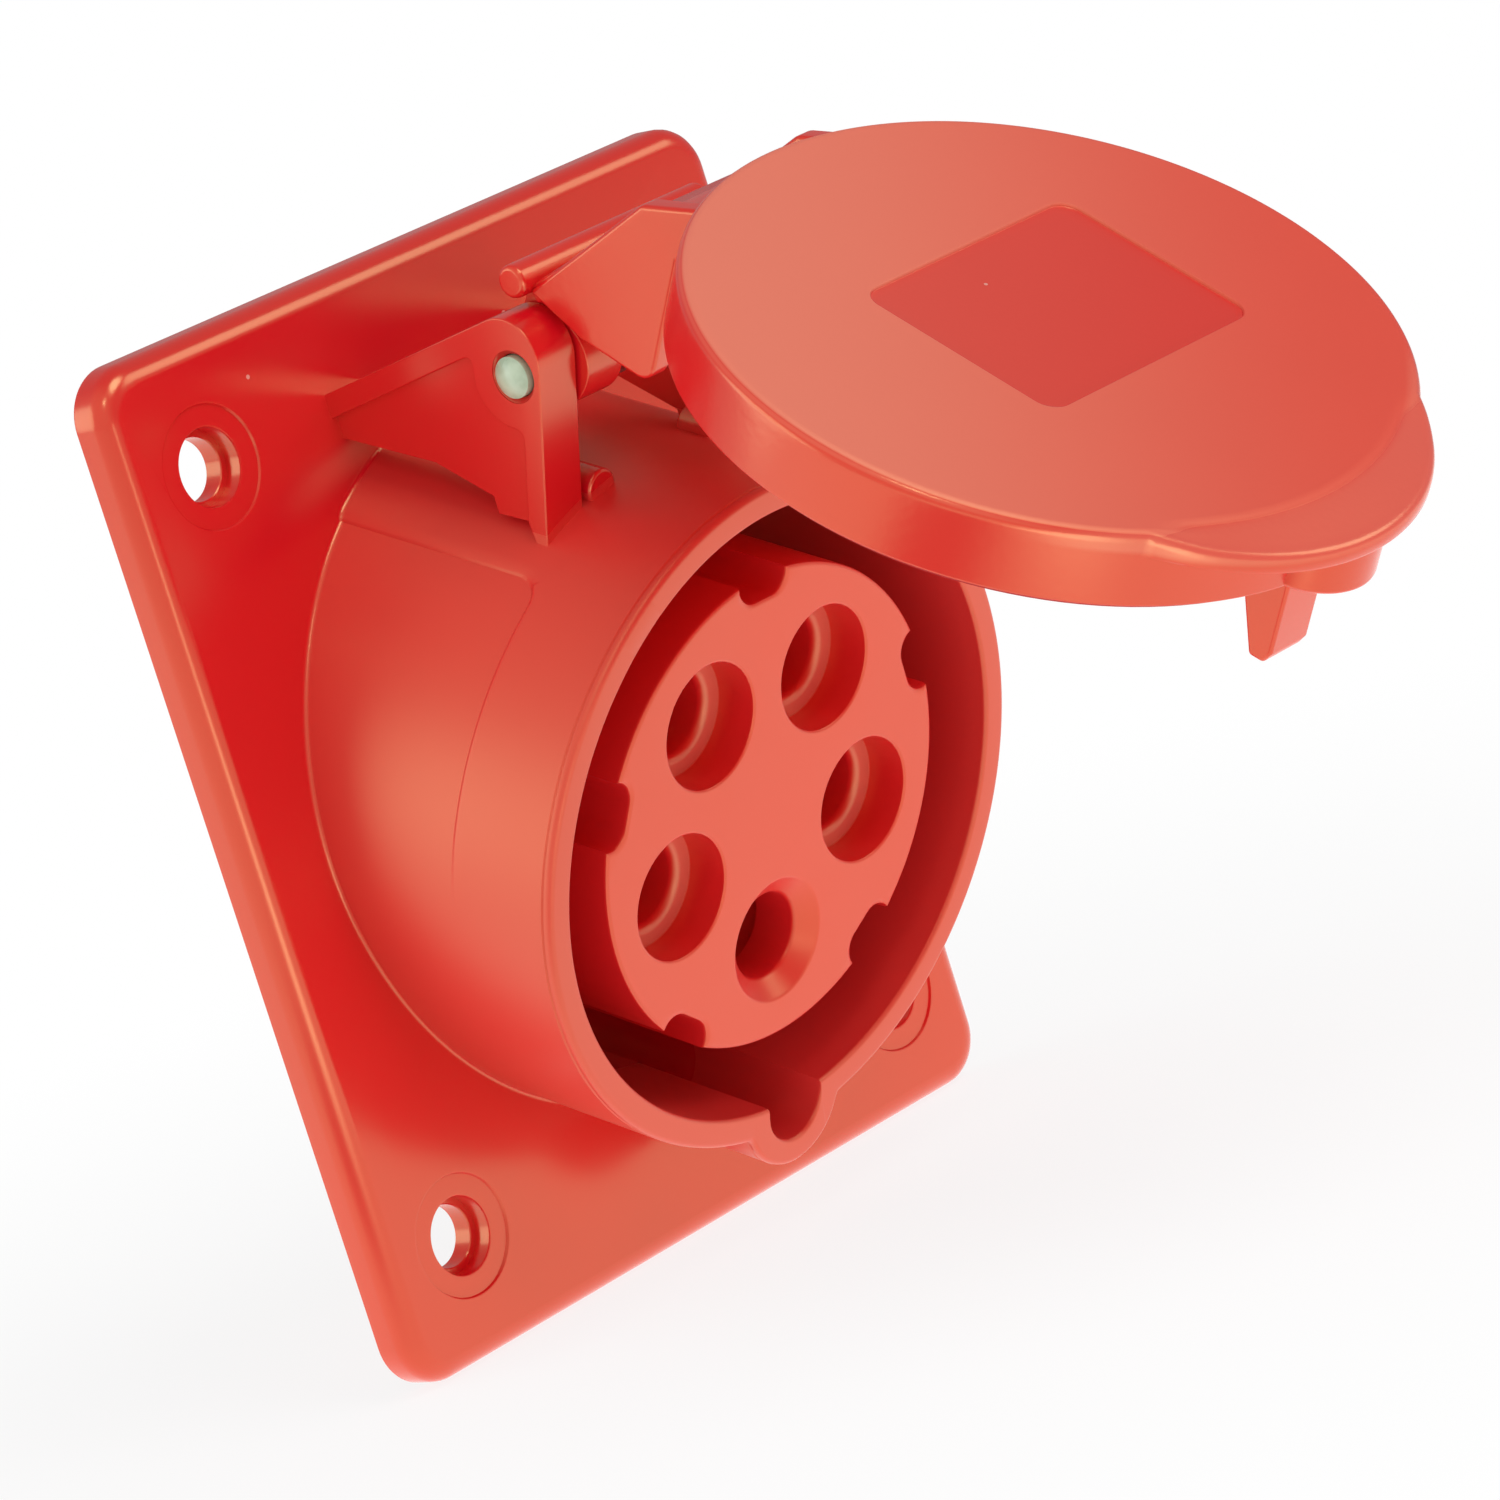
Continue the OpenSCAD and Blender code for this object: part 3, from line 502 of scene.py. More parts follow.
# Flange edge from the front to the back, then the groove for the seal
edge_stages = []
for w in range(0, 91, 15):
    inset = flange_edge * (1 - sin(radians(w)))
    fall = flange_edge * (1 - cos(radians(w)))
    edge_stages.append(plate_ring(inset, -flange_t + fall, flange_corner - inset))
for inset, y, corner in (
    (0, -0.3, 5), (0.1, -0.1, 4.9), (0.3, 0, 4.7),
    (1.9, 0, 3.1), (1.9, -2, 3.1), (5.1, -2, 2.9), (5.1, 0, 2.9),
):
    edge_stages.append(plate_ring(inset, y, corner))
plate_front, plate_back = grow(housing_mesh, edge_stages)

# Fixing holes, each (radius, y) from the shallow ring round it to the back
hole_x, hole_z = 31.5, 38
hole_steps = [
    (6.05, -4.5), (5.92, -4.46), (5.86, -4.36), (5.8, -4.25), (3.95, -4.25), (3.78, -4.2),
    (3.7, -4.05), (3.7, -2.3), (3.1, -2.3), (3.0, -2.2), (3.0, -0.25), (3.2, 0),
]
fronts, backs = [front_ring, plate_front], [back_ring, plate_back]
for x in (-hole_x, hole_x):
    for z in (-hole_z, hole_z):
        first, last = grow(housing_mesh, [
            [Vector((px, y, pz)) for px, pz in circle((x, z), r, 64)] for r, y in hole_steps])
        fronts.append(first)
        backs.append(last)
close_flat(housing_mesh, fronts, (0, -1, 0))
close_flat(housing_mesh, backs, (0, 1, 0))
housing = piece("housing_moulding", housing_mesh, mm)

# Ears: a web that runs back to the flange clear of the barrel, and a raised rim round it
hinge_u, hinge_back = 44.7, 17.0
ear_front, head_r, ear_head = 13.8, 4.2, (45.9, -18.0)
foot_u, foot_back, rim_w, boss_r = 28.4, -15.0, 2.3, 5.2
rim_in, rim_out, rim_edge = 10.7, 15.7, 0.7
web_in, web_out, web_edge, web_inset = 10.75, 15.0, 0.25, 1.0
gusset_root = Vector(from_flange(-3.5, 39.6))
reach = gusset_root - Vector(ear_head)
touch = degrees(atan2(reach[1], reach[0]) + acos(head_r / reach.length))
head_end = Vector(arc(ear_head, head_r, 90, touch, 16)[-1])
slope = (head_end - gusset_root).normalized()
inward = Vector((-slope[1], slope[0]))


def ear_line(inset):
    """The ear's outline from its foot over the round head to the flange, pulled in by the inset."""
    root = gusset_root + inward * inset
    return [
        (foot_u, -ear_front - inset), *arc(ear_head, head_r - inset, 90, touch, 16), tuple(root)
    ]


def ease_corner(line, corner, run):
    """Replaces a corner of an open line by a curve that starts and ends a run away from it."""
    p, q, s = Vector(line[corner - 1]), Vector(line[corner]), Vector(line[corner + 1])
    a = q + (p - q).normalized() * min(run, (p - q).length * 0.9)
    b = q + (s - q).normalized() * min(run, (s - q).length * 0.9)
    bend = [a * (1 - w) ** 2 + q * 2 * w * (1 - w) + b * w ** 2 for w in (0, 0.2, 0.4, 0.6, 0.8, 1)]
    return [*line[:corner], *[tuple(p) for p in bend], *line[corner + 1:]]


web_line = [
    *ear_line(web_inset), from_flange(-3.2, 35.7), from_flange(-15.4, 31.7), (31.8, -20.9),
    (30.2, -20.3), (30.4, -15.3), (foot_u, foot_back),
]

# Where the rim's inner side runs into the boss round the pin, and out of it again
pin_place = (hinge_u, -hinge_back)
rim_low = gusset_root + inward * rim_w
to_pin = Vector(pin_place) - rim_low
along = to_pin.dot(slope) - sqrt(boss_r ** 2 - to_pin.dot(inward) ** 2)
boss_in = rim_low + slope * along
boss_out_a = -ear_front - rim_w
boss_out = Vector((hinge_u - sqrt(boss_r ** 2 - (boss_out_a + hinge_back) ** 2), boss_out_a))
boss_start, boss_stop = (
    degrees(atan2(end[1] + hinge_back, end[0] - hinge_u)) % 360 for end in (boss_in, boss_out)
)
boss = arc(pin_place, boss_r, boss_start, boss_stop, 10)
inner_line = [
    tuple(rim_low), tuple(boss_in), *boss[3:9], tuple(boss_out), (30.6, boss_out_a)
]
boss_out_run, boss_in_run = 1.1, 1.4
inner_line = ease_corner(inner_line, inner_line.index(tuple(boss_out)), boss_out_run)
inner_line = ease_corner(inner_line, inner_line.index(tuple(boss_in)), boss_in_run)
rim_line = [*ear_line(0), *inner_line, (foot_u, foot_back)]

stop_r, stop_length, stop_edge = 1.8, 4, 0.35
stop_x, stop_u, stop_a = 8.3, 32.2, -15.4
sides = {-1: "left", 1: "right"}
ears = []
for side, name in sides.items():
    rim_ends, web_ends = (
        sorted((side * low, side * high)) for low, high in ((rim_in, rim_out), (web_in, web_out)))
    ears += [
        slab("ear_rim_" + name, rim_line, *rim_ends, rim_edge, barrel_frame),
        slab("ear_web_" + name, web_line, *web_ends, web_edge, barrel_frame),
        rod("stop_" + name, stop_r, stop_length, (side * stop_x, stop_u, stop_a), barrel_frame,
            stop_edge, 40, across=False),
    ]

# Bore for the pin, each (x, radius), wider at its ends
pin_steps = [(-18, 2.55), (-15.6, 2.55), (-15.2, 2.08), (15.2, 2.08), (15.6, 2.55), (18, 2.55)]
pin_bore_mesh = bmesh.new()
bore_ends = grow(pin_bore_mesh, [
    [Vector((x, u, a)) for u, a in circle(pin_place, r, 64)] for x, r in pin_steps])
for end, facing in zip(bore_ends, (-1, 1)):
    close_flat(pin_bore_mesh, [end], (facing, 0, 0))
mould(housing, ears, [piece("pin_bore", pin_bore_mesh, barrel_frame)])


def tinted(tree, share, first, second):
    """Goes from the first colour to the second by the share."""
    return tree.node(
        "ShaderNodeMix", {"data_type": "RGBA"}, {0: share, 6: first, 7: second}, out=2)


def moulded_red(name, colour, rough, grain, grain_depth, surface=None):
    """Pigmented moulded plastic with faint flow marks, a fine skin and a little dust.

    The surface function takes the tree, place, colour and roughness, and gives the last two
    changed."""
    finish = bpy.data.materials.new(name)
    tree = fresh_tree(finish)
    at = tree.node("ShaderNodeTexCoord", out="Object")
    flow = tree.node("ShaderNodeTexNoise", inputs={"Vector": at, "Scale": 45, "Detail": 2})
    cloud = tree.node("ShaderNodeTexNoise", inputs={"Vector": at, "Scale": 12, "Detail": 1})
    deep = tuple(0.93 * c for c in colour)
    light = tuple(min(1, 1.04 * c + 0.002) for c in colour)
    tint = tinted(tree, 0.5 * flow + 0.5 * cloud, (*deep, 1), (*light, 1))
    rough = rough + 0.08 * (flow - 0.5) + 0.05 * (cloud - 0.5)
    if surface:
        tint, rough = surface(tree, at, tint, rough)
    dust_colour, dust_cover = (0.82, 0.5, 0.44, 1), 0.6
    speck_r, speck_gain, speck_pick = 0.024, 0.03, 0.93
    cells = {"Vector": at, "Scale": 210}
    near = tree.node("ShaderNodeTexVoronoi", inputs=cells, out="Distance")
    pick = tree.node("ShaderNodeSeparateColor", inputs={
        0: tree.node("ShaderNodeTexVoronoi", inputs=cells, out="Color")})
    dust = (near < speck_r + speck_gain * pick) * (pick > speck_pick)
    dusty = tinted(tree, dust_cover * dust, tint, dust_colour)
    skin = tree.node("ShaderNodeTexNoise", inputs={"Vector": at, "Scale": grain, "Detail": 1})
    relief = tree.node("ShaderNodeBump", inputs={
        "Strength": 1, "Distance": grain_depth, "Height": skin})
    plastic = tree.node("ShaderNodeBsdfPrincipled", inputs={
        "Base Color": dusty, "Roughness": rough, "Normal": relief,
        "IOR": 1.6, "Specular IOR Level": 0.95, "Specular Tint": (1, 0.88, 0.42, 1)})
    tree.node("ShaderNodeOutputMaterial", inputs={0: plastic})
    return finish


def in_mm(tree, at, place):
    """Object coordinates turned into a piece's own frame, in millimetres."""
    turned = place.inverted()
    return tree.node("ShaderNodeMapping", inputs={
        "Vector": at, "Location": turned.translation,
        "Rotation": turned.to_3x3().normalized().to_euler(), "Scale": (1000, 1000, 1000)})


def off_axis(tree, x, u):
    """Distance from the barrel's or the lid's own axis."""
    flat = tree.node("ShaderNodeCombineXYZ", inputs={0: x, 1: u})
    return distance(tree, flat, (0, 0, 0))


# A paler red mixed into the red mouldings as painted light: sheen on the barrel and the lid's face,
# and light on the entry shoulders.
painted_light_red = (0.82, 0.2, 0.14, 1)


def housing_surface(tree, at, tint, rough):
    """The mould was polished for the flange and ears, and left satin round the barrel.

    Satin starts just in front of the flange, and stays close to the barrel except low down. There
    the colour also gets a little painted sheen, mixed towards a paler red."""
    x, u = axes(tree, in_mm(tree, at, barrel_frame), "XY")
    front = axes(tree, at, "Y")[0].ease(-0.0046, -0.005)
    satin_and_sheen = front * off_axis(tree, x, u).ease(33.9, 33.3).highest(u.ease(-20, -24))
    # Painted sheen: the satin band's colour is mixed a little towards the paler red.
    return tinted(tree, 0.09 * satin_and_sheen, tint, painted_light_red), rough + 0.2 * satin_and_sheen


housing_red = moulded_red(
    "housing_red", (0.68, 0.004, 0.013), 0.22, 500, 0.000003, housing_surface)
shade(housing, housing_red)
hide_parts("housing")
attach(housing, "body")

# Carrier
# Moulded core in the same red, with five contact entries in its flat face and five notches in
# its edge. It stands free in the barrel, and the plug's collar goes round it.
carrier_r, carrier_face = 23.5, -1.5
notch_half, notch_depth = 3.25, 2.4
contact_circle_r = 13.85
live_angles, earth_angle = (198, 126, 54, 342), 270
poles = 5


def carrier_ring(inset, a):
    """The carrier's outline, pulled in by the inset, at a depth."""
    line = []
    r = carrier_r - inset
    wide, deep = notch_half + inset, notch_depth + inset
    turn = sqrt(r ** 2 - wide ** 2) - carrier_r + deep
    opening = degrees(asin(wide / r))
    for k in range(poles):
        middle = 90 + 72 * k
        notch = [
            *arc((carrier_r - deep + turn, -wide + turn), turn, 270, 180, 8),
            *arc((carrier_r - deep + turn, wide - turn), turn, 180, 90, 8),
        ]
        spin = Matrix.Rotation(radians(middle), 2)
        line += [tuple(spin @ Vector(p)) for p in notch]
        line += arc((0, 0), r, middle + opening, middle + 72 - opening, 28)
    return [Vector((x, u, a)) for x, u in line]


carrier_mesh = bmesh.new()
carrier_front, carrier_back = grow(carrier_mesh, [
    carrier_ring(0.5, carrier_face), carrier_ring(0.28, carrier_face - 0.04),
    carrier_ring(0.1, carrier_face - 0.16), carrier_ring(0, carrier_face - 0.42),
    carrier_ring(0, -well_depth)])

# Entries, each (radius, depth) from the face inwards: a live one narrows at a shoulder, and
# the earth's has a wide funnel
shoulder_depth, entry_depth = -4.4, -28.5
live_steps = [
    (6.42, 0), (6.25, -0.05), (6.13, -0.16), (6.1, -0.34), (6.1, shoulder_depth),
    (4.95, shoulder_depth), (4.6, -4.47), (4.32, -4.67), (4.13, -4.97), (4.05, -5.4),
    (4.05, entry_depth),
]
earth_steps = [
    (6.3, 0), (6.1, -0.06), (5.95, -0.2), (4.5, -1.42), (4.28, -1.66), (4.2, -1.95),
    (4.2, -6.2), (5.2, -6.2), (5.2, entry_depth),
]
fronts, backs = [carrier_front], [carrier_back]
for angle in (*live_angles, earth_angle):
    centre = arc((0, 0), contact_circle_r, angle, angle, 1)[0]
    steps = earth_steps if angle == earth_angle else live_steps
    first, last = grow(carrier_mesh, [
        [Vector((x, u, carrier_face + a)) for x, u in circle(centre, r, 72)] for r, a in steps])
    fronts.append(first)
    backs.append(last)
close_flat(carrier_mesh, fronts, (0, 0, 1))
close_flat(carrier_mesh, backs, (0, 0, -1))
carrier = piece("carrier_moulding", carrier_mesh, barrel_frame)


def carrier_surface(tree, at, tint, rough):
    """The shoulder in each live entry is painted paler, as painted light where light reaches in.

    A thin slice at the shoulder's depth, clear of the carrier's wall and of the earth entry."""
    spot = in_mm(tree, at, barrel_frame)
    step = carrier_face + shoulder_depth
    level = axes(tree, spot, "Z")[0]
    out = distance(tree, spot, (0, 0, step))
    off_earth = distance(tree, spot, (0, -contact_circle_r, step))
    shoulder = level.ease(step - 0.35, step - 0.1) * level.ease(step + 0.2, step + 0.04)
    shoulder = shoulder * out.ease(20.8, 20.4) * off_earth.ease(6.4, 6.8)
    # Painted light: the shoulder slice is mixed well towards the paler red.
    return tinted(tree, 0.6 * shoulder, tint, painted_light_red), rough


carrier_red = moulded_red(
    "carrier_red", (0.74, 0.009, 0.015), 0.36, 700, 0.000003, carrier_surface)
shade(carrier, carrier_red)
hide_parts("contact_carrier", "carrier_core")
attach(carrier, "body")


# Disc and terminal plate
# Two matt mouldings in a darker red behind the carrier. The disc seats in the barrel, and the
# plate is screwed to it, traps the contacts' collars and parts the terminals with its ribs.
def dress(nodes, finish):
    for node in nodes:
        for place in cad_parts[node].material_slots:
            place.material = finish


rear_red = moulded_red("rear_red", (0.4, 0.02, 0.018), 0.5, 900, 0.00001)
dress(("carrier_disc", "terminal_plate"), rear_red)


# Contacts
# Five brass sleeves, slit in front and with a clamp terminal behind, turned from bar. They are
# bright from the lathe and a little dulled, and the terminal plate holds them in the carrier.
def metal(name, colour, dull, rough, lines):
    """Bare metal with dull stains and the fine lines of its making, scaled along their run."""
    finish = bpy.data.materials.new(name)
    tree = fresh_tree(finish)
    at = tree.node("ShaderNodeTexCoord", out="Object")
    stain = tree.node("ShaderNodeTexNoise", inputs={
        "Vector": at, "Scale": 160, "Detail": 5, "Roughness": 0.6})
    stretched = tree.node("ShaderNodeMapping", inputs={
        "Vector": at, "Rotation": (tilt, 0, 0), "Scale": lines})
    turned = tree.node("ShaderNodeTexNoise", inputs={"Vector": stretched, "Scale": 1, "Detail": 3})
    tint = tinted(tree, stain.ease(0.42, 0.7), (*colour, 1), (*dull, 1))
    relief = tree.node("ShaderNodeBump", inputs={
        "Strength": 0.5, "Distance": 0.00002, "Height": turned})
    bright = tree.node("ShaderNodeBsdfPrincipled", inputs={
        "Base Color": tint, "Metallic": 1, "Roughness": rough + 0.16 * stain + 0.08 * turned,
        "Normal": relief})
    tree.node("ShaderNodeOutputMaterial", inputs={0: bright})
    return finish


pole_names = ("l1", "l2", "l3", "n", "earth")
turned_brass = metal("turned_brass", (0.79, 0.56, 0.25), (0.5, 0.33, 0.14), 0.16, (500, 6000, 500))
dress(["contact_" + pole for pole in pole_names], turned_brass)

# Spring rings and screws
# Open rings of bright spring steel, sprung into a groove round each contact's slit sleeve, and
# zinc plated steel screws that clamp the wires and hold the terminal plate.
spring_steel = metal("spring_steel", (0.6, 0.61, 0.63), (0.42, 0.42, 0.44), 0.2, (900, 900, 5000))
zinc_plate = metal("zinc_plate", (0.66, 0.67, 0.69), (0.46, 0.47, 0.47), 0.24, (700, 700, 700))
dress(["ring_" + pole for pole in pole_names], spring_steel)
dress(("terminal_screws", "plate_screws"), zinc_plate)


# Seals
# Soft rubber, laid in grooves: a black cord in the back of the flange and a red ring in the
# lid's rim, so that no dark line shows under the lid.
def rubber(name, clean, bloomed):
    finish = bpy.data.materials.new(name)
    tree = fresh_tree(finish)
    at = tree.node("ShaderNodeTexCoord", out="Object")
    bloom = tree.node("ShaderNodeTexNoise", inputs={"Vector": at, "Scale": 60, "Detail": 5})
    pores = tree.node("ShaderNodeTexNoise", inputs={"Vector": at, "Scale": 2600, "Detail": 2})
    tint = tinted(tree, bloom.ease(0.35, 0.75), (*clean, 1), (*bloomed, 1))
    relief = tree.node("ShaderNodeBump", inputs={
        "Strength": 0.6, "Distance": 0.00002, "Height": pores})
    soft = tree.node("ShaderNodeBsdfPrincipled", inputs={
        "Base Color": tint, "Roughness": 0.62 + 0.2 * bloom, "Normal": relief})
    tree.node("ShaderNodeOutputMaterial", inputs={0: soft})
    return finish


dress(["flange_seal"], rubber("black_rubber", (0.014, 0.014, 0.015), (0.04, 0.039, 0.038)))
dress(["lid_seal"], rubber("red_rubber", (0.45, 0.014, 0.012), (0.5, 0.03, 0.026)))

# Lid
# Round cap with an arm to the hinge, a thumb lip, a lug and a nose that goes into the keyway,
# moulded in one piece. Its face has a fine grain, and a smooth shallow square in the middle.
lid_open = radians(74)
lid_frame = (
    barrel_frame @ Matrix.Translation((0, hinge_u, -hinge_back))
    @ Matrix.Rotation(-lid_open, 4, "X") @ Matrix.Translation((0, -hinge_u, hinge_back))
)
lid_r, lid_low, lid_face, lid_edge = 33.2, 0.85, 8.3, 1.0
lip_shift, lip_r, lip_under, lip_slope, lip_dip = 14.3, 23.2, 6.1, 0.23, 0.3


def lip_reach(t):
    """How far the thumb lip stands out of the lid's round wall at an angle."""
    off = radians(t + 90)
    out = lip_r ** 2 - (lip_shift * sin(off)) ** 2
    if cos(off) <= 0 or out <= 0:
        return 0
    return max(0, lip_shift * cos(off) + sqrt(out) - lid_r)


def lid_ring(r, a, reach=0, dip=0):
    """A ring round the lid: reach is its share of the lip's width, dip its crease's depth there."""
    ring = []
    for t in range(360):
        wide = lip_reach(t)
        share = min(1, wide / 2)
        share = share * share * (3 - 2 * share)
        far = r + reach * wide
        fall = dip * share + lip_slope * reach * wide
        ring.append(Vector((far * cos(radians(t)), far * sin(radians(t)), a - fall)))
    return ring


# Profile from the hollow under the rim and the lip to the face, each as lid_ring takes it
lid_profile = [
    (28.8, 6.3), (29.4, 6.2), (29.8, 5.9), (30, 5.4), (30, 1.1), (30.08, 0.92), (30.25, lid_low),
    (32.9, lid_low), (33.1, 0.93), (lid_r, 1.15), (lid_r, lip_under - 0.35),
    (lid_r, lip_under, 0.08), (lid_r, lip_under, 0.88), (lid_r, lip_under + 0.12, 0.97),
    (lid_r, lip_under + 0.4, 1),
]
for w in range(0, 91, 15):
    inset, fall = lid_edge * (1 - cos(radians(w))), lid_edge * (1 - sin(radians(w)))
    lid_profile.append((lid_r - inset, lid_face - fall, 1, lip_dip))
lid_profile += [(lid_r - lid_edge, lid_face, share, lip_dip) for share in (0.75, 0.5, 0.3, 0.15)]
lid_profile += [
    (32.1, lid_face, 0.02, lip_dip), (31.8, lid_face, 0, 0.75 * lip_dip),
    (31.4, lid_face, 0, 0.35 * lip_dip), (31.0, lid_face, 0, 0.08 * lip_dip),
    (30.6, lid_face, 0, 0),
]
lid_mesh = bmesh.new()
lid_under, lid_top = grow(lid_mesh, [lid_ring(*place) for place in lid_profile])
square_middle, square_w, square_h, square_corner = (2.6, 1.3), 14.25, 11, 2


def square_ring(inset, fall):
    outline = rounded_box(
        square_middle, square_w - inset, square_h - inset, square_corner - inset, 10)
    return [Vector((x, u, lid_face - fall)) for x, u in outline]


square_top, square_floor = grow(lid_mesh, [
    square_ring(-0.2, 0), square_ring(-0.06, 0.05), square_ring(0, 0.14),
    square_ring(0.08, 0.28), square_ring(0.25, 0.35)])
close_flat(lid_mesh, [lid_top, square_top], (0, 0, 1))
close_flat(lid_mesh, [square_floor], (0, 0, 1))
close_flat(lid_mesh, [lid_under], (0, 0, -1))
lid = piece("lid_moulding", lid_mesh, lid_frame)

# Lug under the lip, rooted in the lid's wall, then the nose, arm, cheeks and knuckles in side view
lug_u, lug_r, lug_top, wall_meet, wall_root = -30.7, 6.2, 6.0, 31.6, 30.3
meet_u = (wall_meet ** 2 - lug_r ** 2 + lug_u ** 2) / (2 * lug_u)
meet_x = sqrt(wall_meet ** 2 - meet_u ** 2)
lug_turn, root_turn = degrees(atan2(meet_u - lug_u, meet_x)), degrees(atan2(meet_u, meet_x))
lug_line = [
    *arc((0, lug_u), lug_r, lug_turn, -180 - lug_turn, 64),
    *arc((0, 0), wall_root, -180 - root_turn, root_turn, 24),
]
nose_line = [
    (-30.76, 7.3), (-30.76, -0.4), (-31.41, -1.05), (-31.41, -8.25), (-30.76, -9.55),
    (-29.16, -9.55), (-25.36, lid_low), (-25.36, 7.3),
]
arm_line = [(29.6, 7.5), (36.6, 3.7), (48.0, -10.5), (46.6, -11.6), (35.7, 1.9), (29.6, 5.2)]
cheek_tip = arc((34.0, -10.6), 1.8, 180, 262, 8)
cheek_line = [
    (29.5, 7.6), (37.3, 4.1), (47.6, -10.7), (40.9, -12.2), *reversed(cheek_tip),
    (32.2, lid_low), (29.5, lid_low),
]
knuckle_r = 4.4
knuckle_line = [(41.9, -12.2), (48.9, -10), *arc(pin_place, knuckle_r, 0, -257, 40)]
nose_half, arm_half, cheek_in, cheek_out = 2.7, 11.6, 9.6, 12
knuckle_in, knuckle_out = 5.6, 10.4
bar_r, bar_length, bar_place = 1.6, 26.4, (0, 48.9, -10)
lug_edge, nose_edge, arm_edge, bar_edge, cheek_edge, knuckle_edge = 0.5, 0.35, 0.2, 0.5, 0.45, 0.35
lug_way = (0, 0, lug_top - lid_low)
lid_parts = [
    prism("lug", [(x, u, lid_low) for x, u in lug_line], lug_way, lug_edge, lid_frame),
    slab("nose", nose_line, -nose_half, nose_half, nose_edge, lid_frame),
    slab("arm_back", arm_line, -arm_half, arm_half, arm_edge, lid_frame),
    rod("arm_bar", bar_r, bar_length, bar_place, lid_frame, bar_edge, 48),
]
for side, name in sides.items():
    cheek_ends = sorted((side * cheek_in, side * cheek_out))
    knuckle_ends = sorted((side * knuckle_in, side * knuckle_out))
    lid_parts += [
        slab("cheek_" + name, cheek_line, *cheek_ends, cheek_edge, lid_frame),
        slab("knuckle_" + name, knuckle_line, *knuckle_ends, knuckle_edge, lid_frame),
    ]
bore_radius, bore_length = 2.05, 60
lid_bore = rod("lid_bore", bore_radius, bore_length, (0, *pin_place), lid_frame)
groove_line = [(30.9, 2.05), (32.3, 2.05), (32.3, -1), (30.9, -1), (30.9, 2.05)]
groove_mesh = bmesh.new()
grow(groove_mesh, [lid_ring(r, a) for r, a in groove_line])
mould(lid, lid_parts, [lid_bore, piece("seal_groove", groove_mesh, lid_frame)])


def lid_surface(tree, at, tint, rough):
    """Matt grain on the face, with a painted sheen that is paler towards the hinge; the smooth
    square keeps the deep colour.

    The edge round the face and the thumb lip's top are painted a little paler than the wall too, as
    sheen."""
    x, u, a = axes(tree, in_mm(tree, at, lid_frame), "XYZ")
    face = a.ease(lid_face - 0.25, lid_face - 0.1)
    top = a.ease(lid_face - 0.6, lid_face - 0.4)
    lip = off_axis(tree, x, u).ease(31, 32.4) * u.ease(-18, -26)
    lip = lip * a.ease(lid_face - 2.2, lid_face - 1.5)
    side = (u - x).ease(-45, 45)
    # Painted sheen: the face, the lip and the top edge are mixed towards the paler red, more on the
    # hinge side.
    pale = (face * (0.15 + 0.7 * side)).highest(0.4 * lip).highest(top * 0.25 * side)
    return tinted(tree, pale, tint, painted_light_red), rough + 0.28 * face


lid_red = moulded_red("lid_red", (0.72, 0.007, 0.013), 0.235, 1300, 0.000012, lid_surface)
shade(lid, lid_red)
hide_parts("lid")
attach(lid, "lid")

# Lid spring
# A torsion spring of drawn steel wire, wound round the pin between the knuckles, with one leg on
# the barrel and one under the lid's arm.
wire_r, coil_r, coil_x, coil_turns = 0.45, 3.3, 4.4, 4
coil_start, coil_stop = radians(-64.5), radians(-35.5)
barrel_leg, lid_leg = 13.3, 14
coil_steps = 200
sweep = coil_stop - coil_start + 2 * pi * coil_turns
out_way = Vector((0, cos(coil_start), sin(coil_start)))
start_way = Vector((0, -sin(coil_start), cos(coil_start)))
stop_way = Vector((0, -sin(coil_stop), cos(coil_stop)))
stand = Matrix((Vector((1, 0, 0)), out_way, start_way)).transposed().to_4x4()
centre = Vector((-coil_x, *pin_place))
leg_end = Matrix.Translation(centre + coil_r * out_way - barrel_leg * start_way)


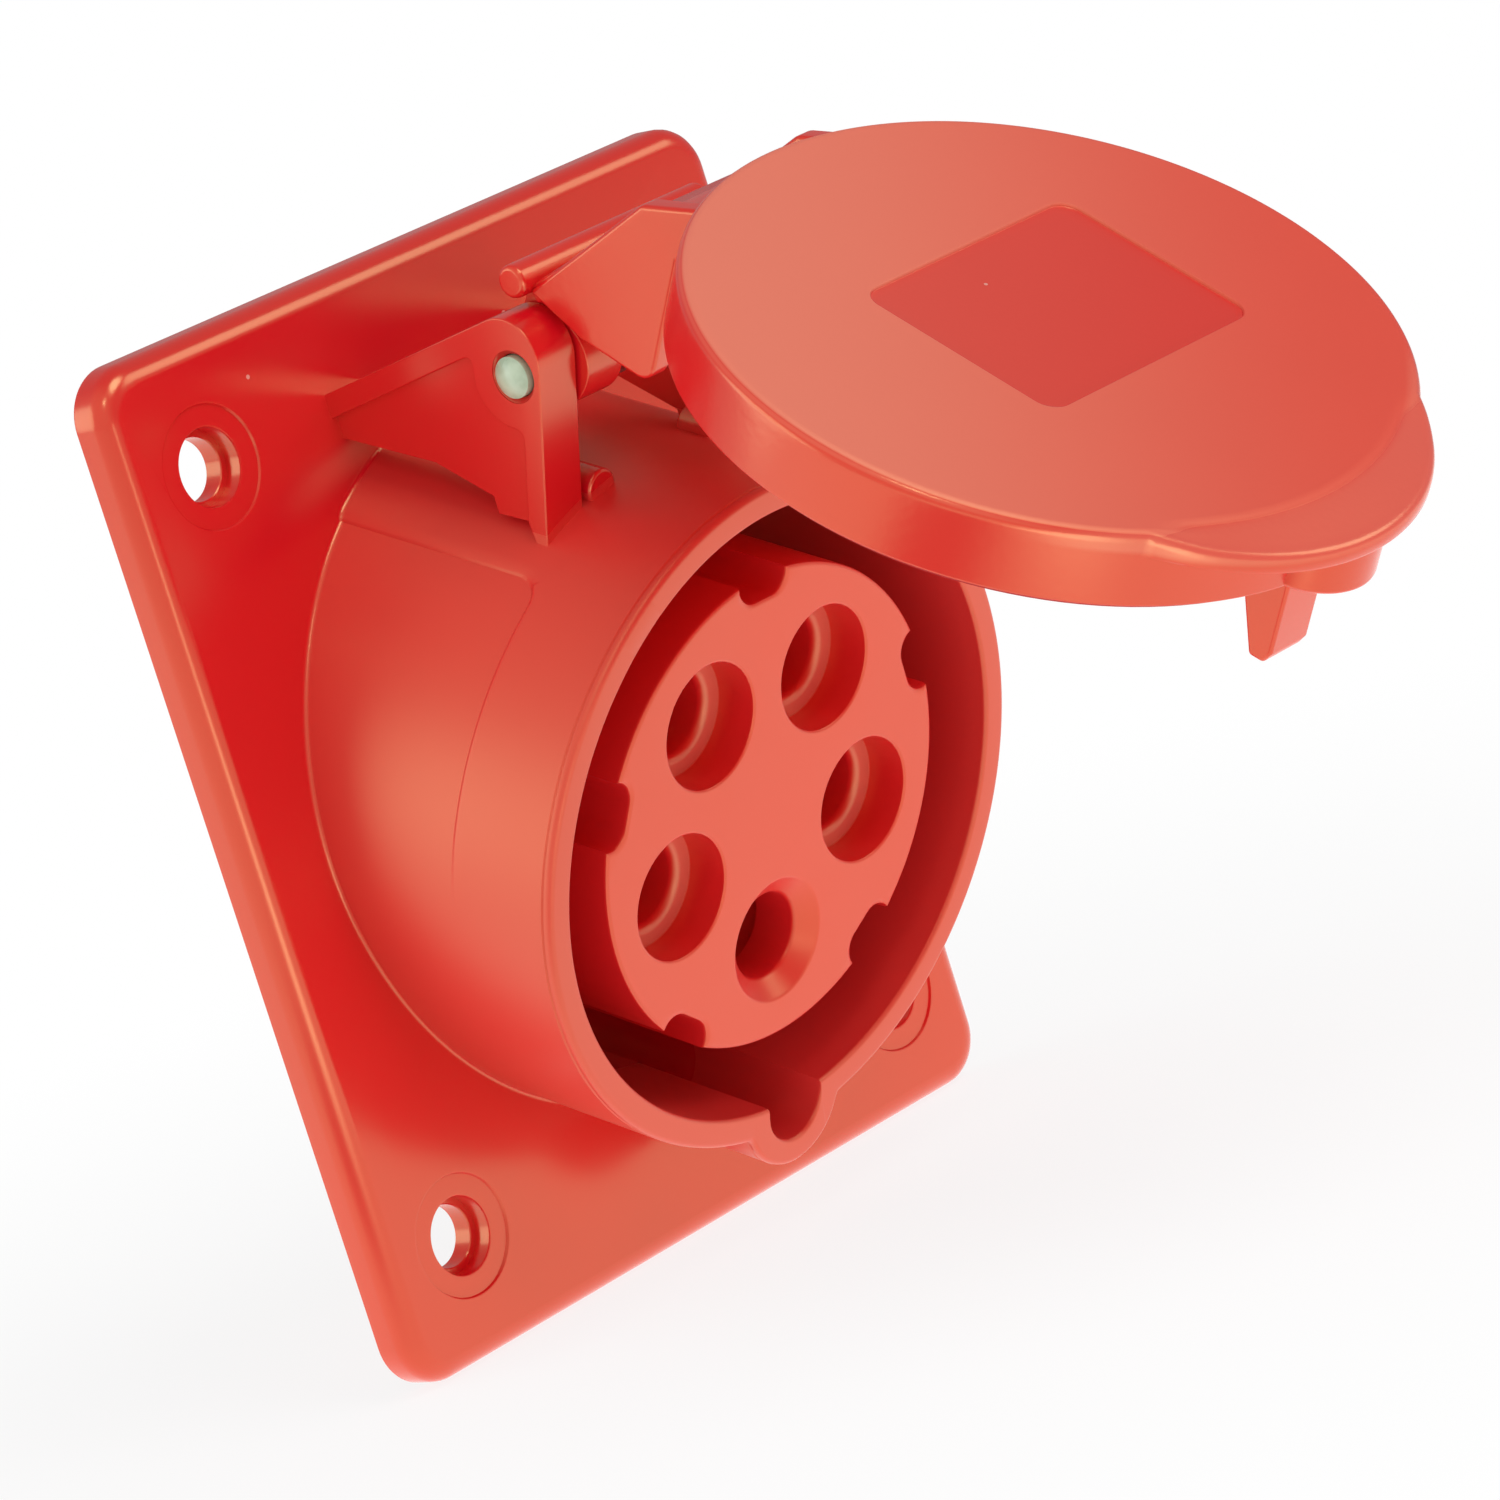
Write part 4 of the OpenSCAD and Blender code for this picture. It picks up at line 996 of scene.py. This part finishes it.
def draw_out(bm, edges, way):
    """Extrudes a wire's end along a way, and gives the edges of its new end."""
    made = bmesh.ops.extrude_edge_only(bm, edges=edges)["geom"]
    end = made_of(made, bmesh.types.BMVert)
    bmesh.ops.translate(bm, verts=end, vec=way)
    return [e for e in made_of(made, bmesh.types.BMEdge) if all(v in end for v in e.verts)]


spring_mesh = bmesh.new()
wire = bmesh.ops.create_circle(spring_mesh, segments=14, radius=wire_r)["verts"]
bmesh.ops.transform(spring_mesh, verts=wire, matrix=leg_end @ stand)
wire_edges = ring_edges(spring_mesh, wire)
bmesh.ops.contextual_create(spring_mesh, geom=wire_edges)
leg_edges = draw_out(spring_mesh, wire_edges, barrel_leg * start_way)
coil = bmesh.ops.spin(
    spring_mesh, geom=leg_edges, cent=centre, axis=(1, 0, 0),
    dvec=(2 * coil_x / coil_steps, 0, 0), angle=sweep, steps=coil_steps, use_merge=False,
)["geom_last"]
lid_end = draw_out(spring_mesh, made_of(coil, bmesh.types.BMEdge), lid_leg * stop_way)
bmesh.ops.contextual_create(spring_mesh, geom=lid_end)
spring = piece("return_spring", spring_mesh, barrel_frame)
shade(spring, spring_steel, crease=50)
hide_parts("lid_spring")
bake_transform(spring)

# Hinge pin
# A plain pin of pale green plastic with rounded ends, pushed through the ears, the lid's
# knuckles and the spring. Its colour is a little cloudy, and its skin glossy.
pin_green = bpy.data.materials.new("pin_green")
tree = fresh_tree(pin_green)
at = tree.node("ShaderNodeTexCoord", out="Object")
cloud = tree.node("ShaderNodeTexNoise", inputs={"Vector": at, "Scale": 420, "Detail": 4})
tint = tinted(tree, cloud.ease(0.3, 0.7), (0.37, 0.48, 0.33, 1), (0.52, 0.63, 0.46, 1))
relief = tree.node("ShaderNodeBump", inputs={
    "Strength": 0.4, "Distance": 0.00002, "Height": cloud})
glossy = tree.node("ShaderNodeBsdfPrincipled", inputs={
    "Base Color": tint, "Roughness": 0.22 + 0.15 * cloud, "Normal": relief,
    "Coat Weight": 0.2, "Coat Roughness": 0.15})
tree.node("ShaderNodeOutputMaterial", inputs={0: glossy})
dress(["hinge_pin"], pin_green)
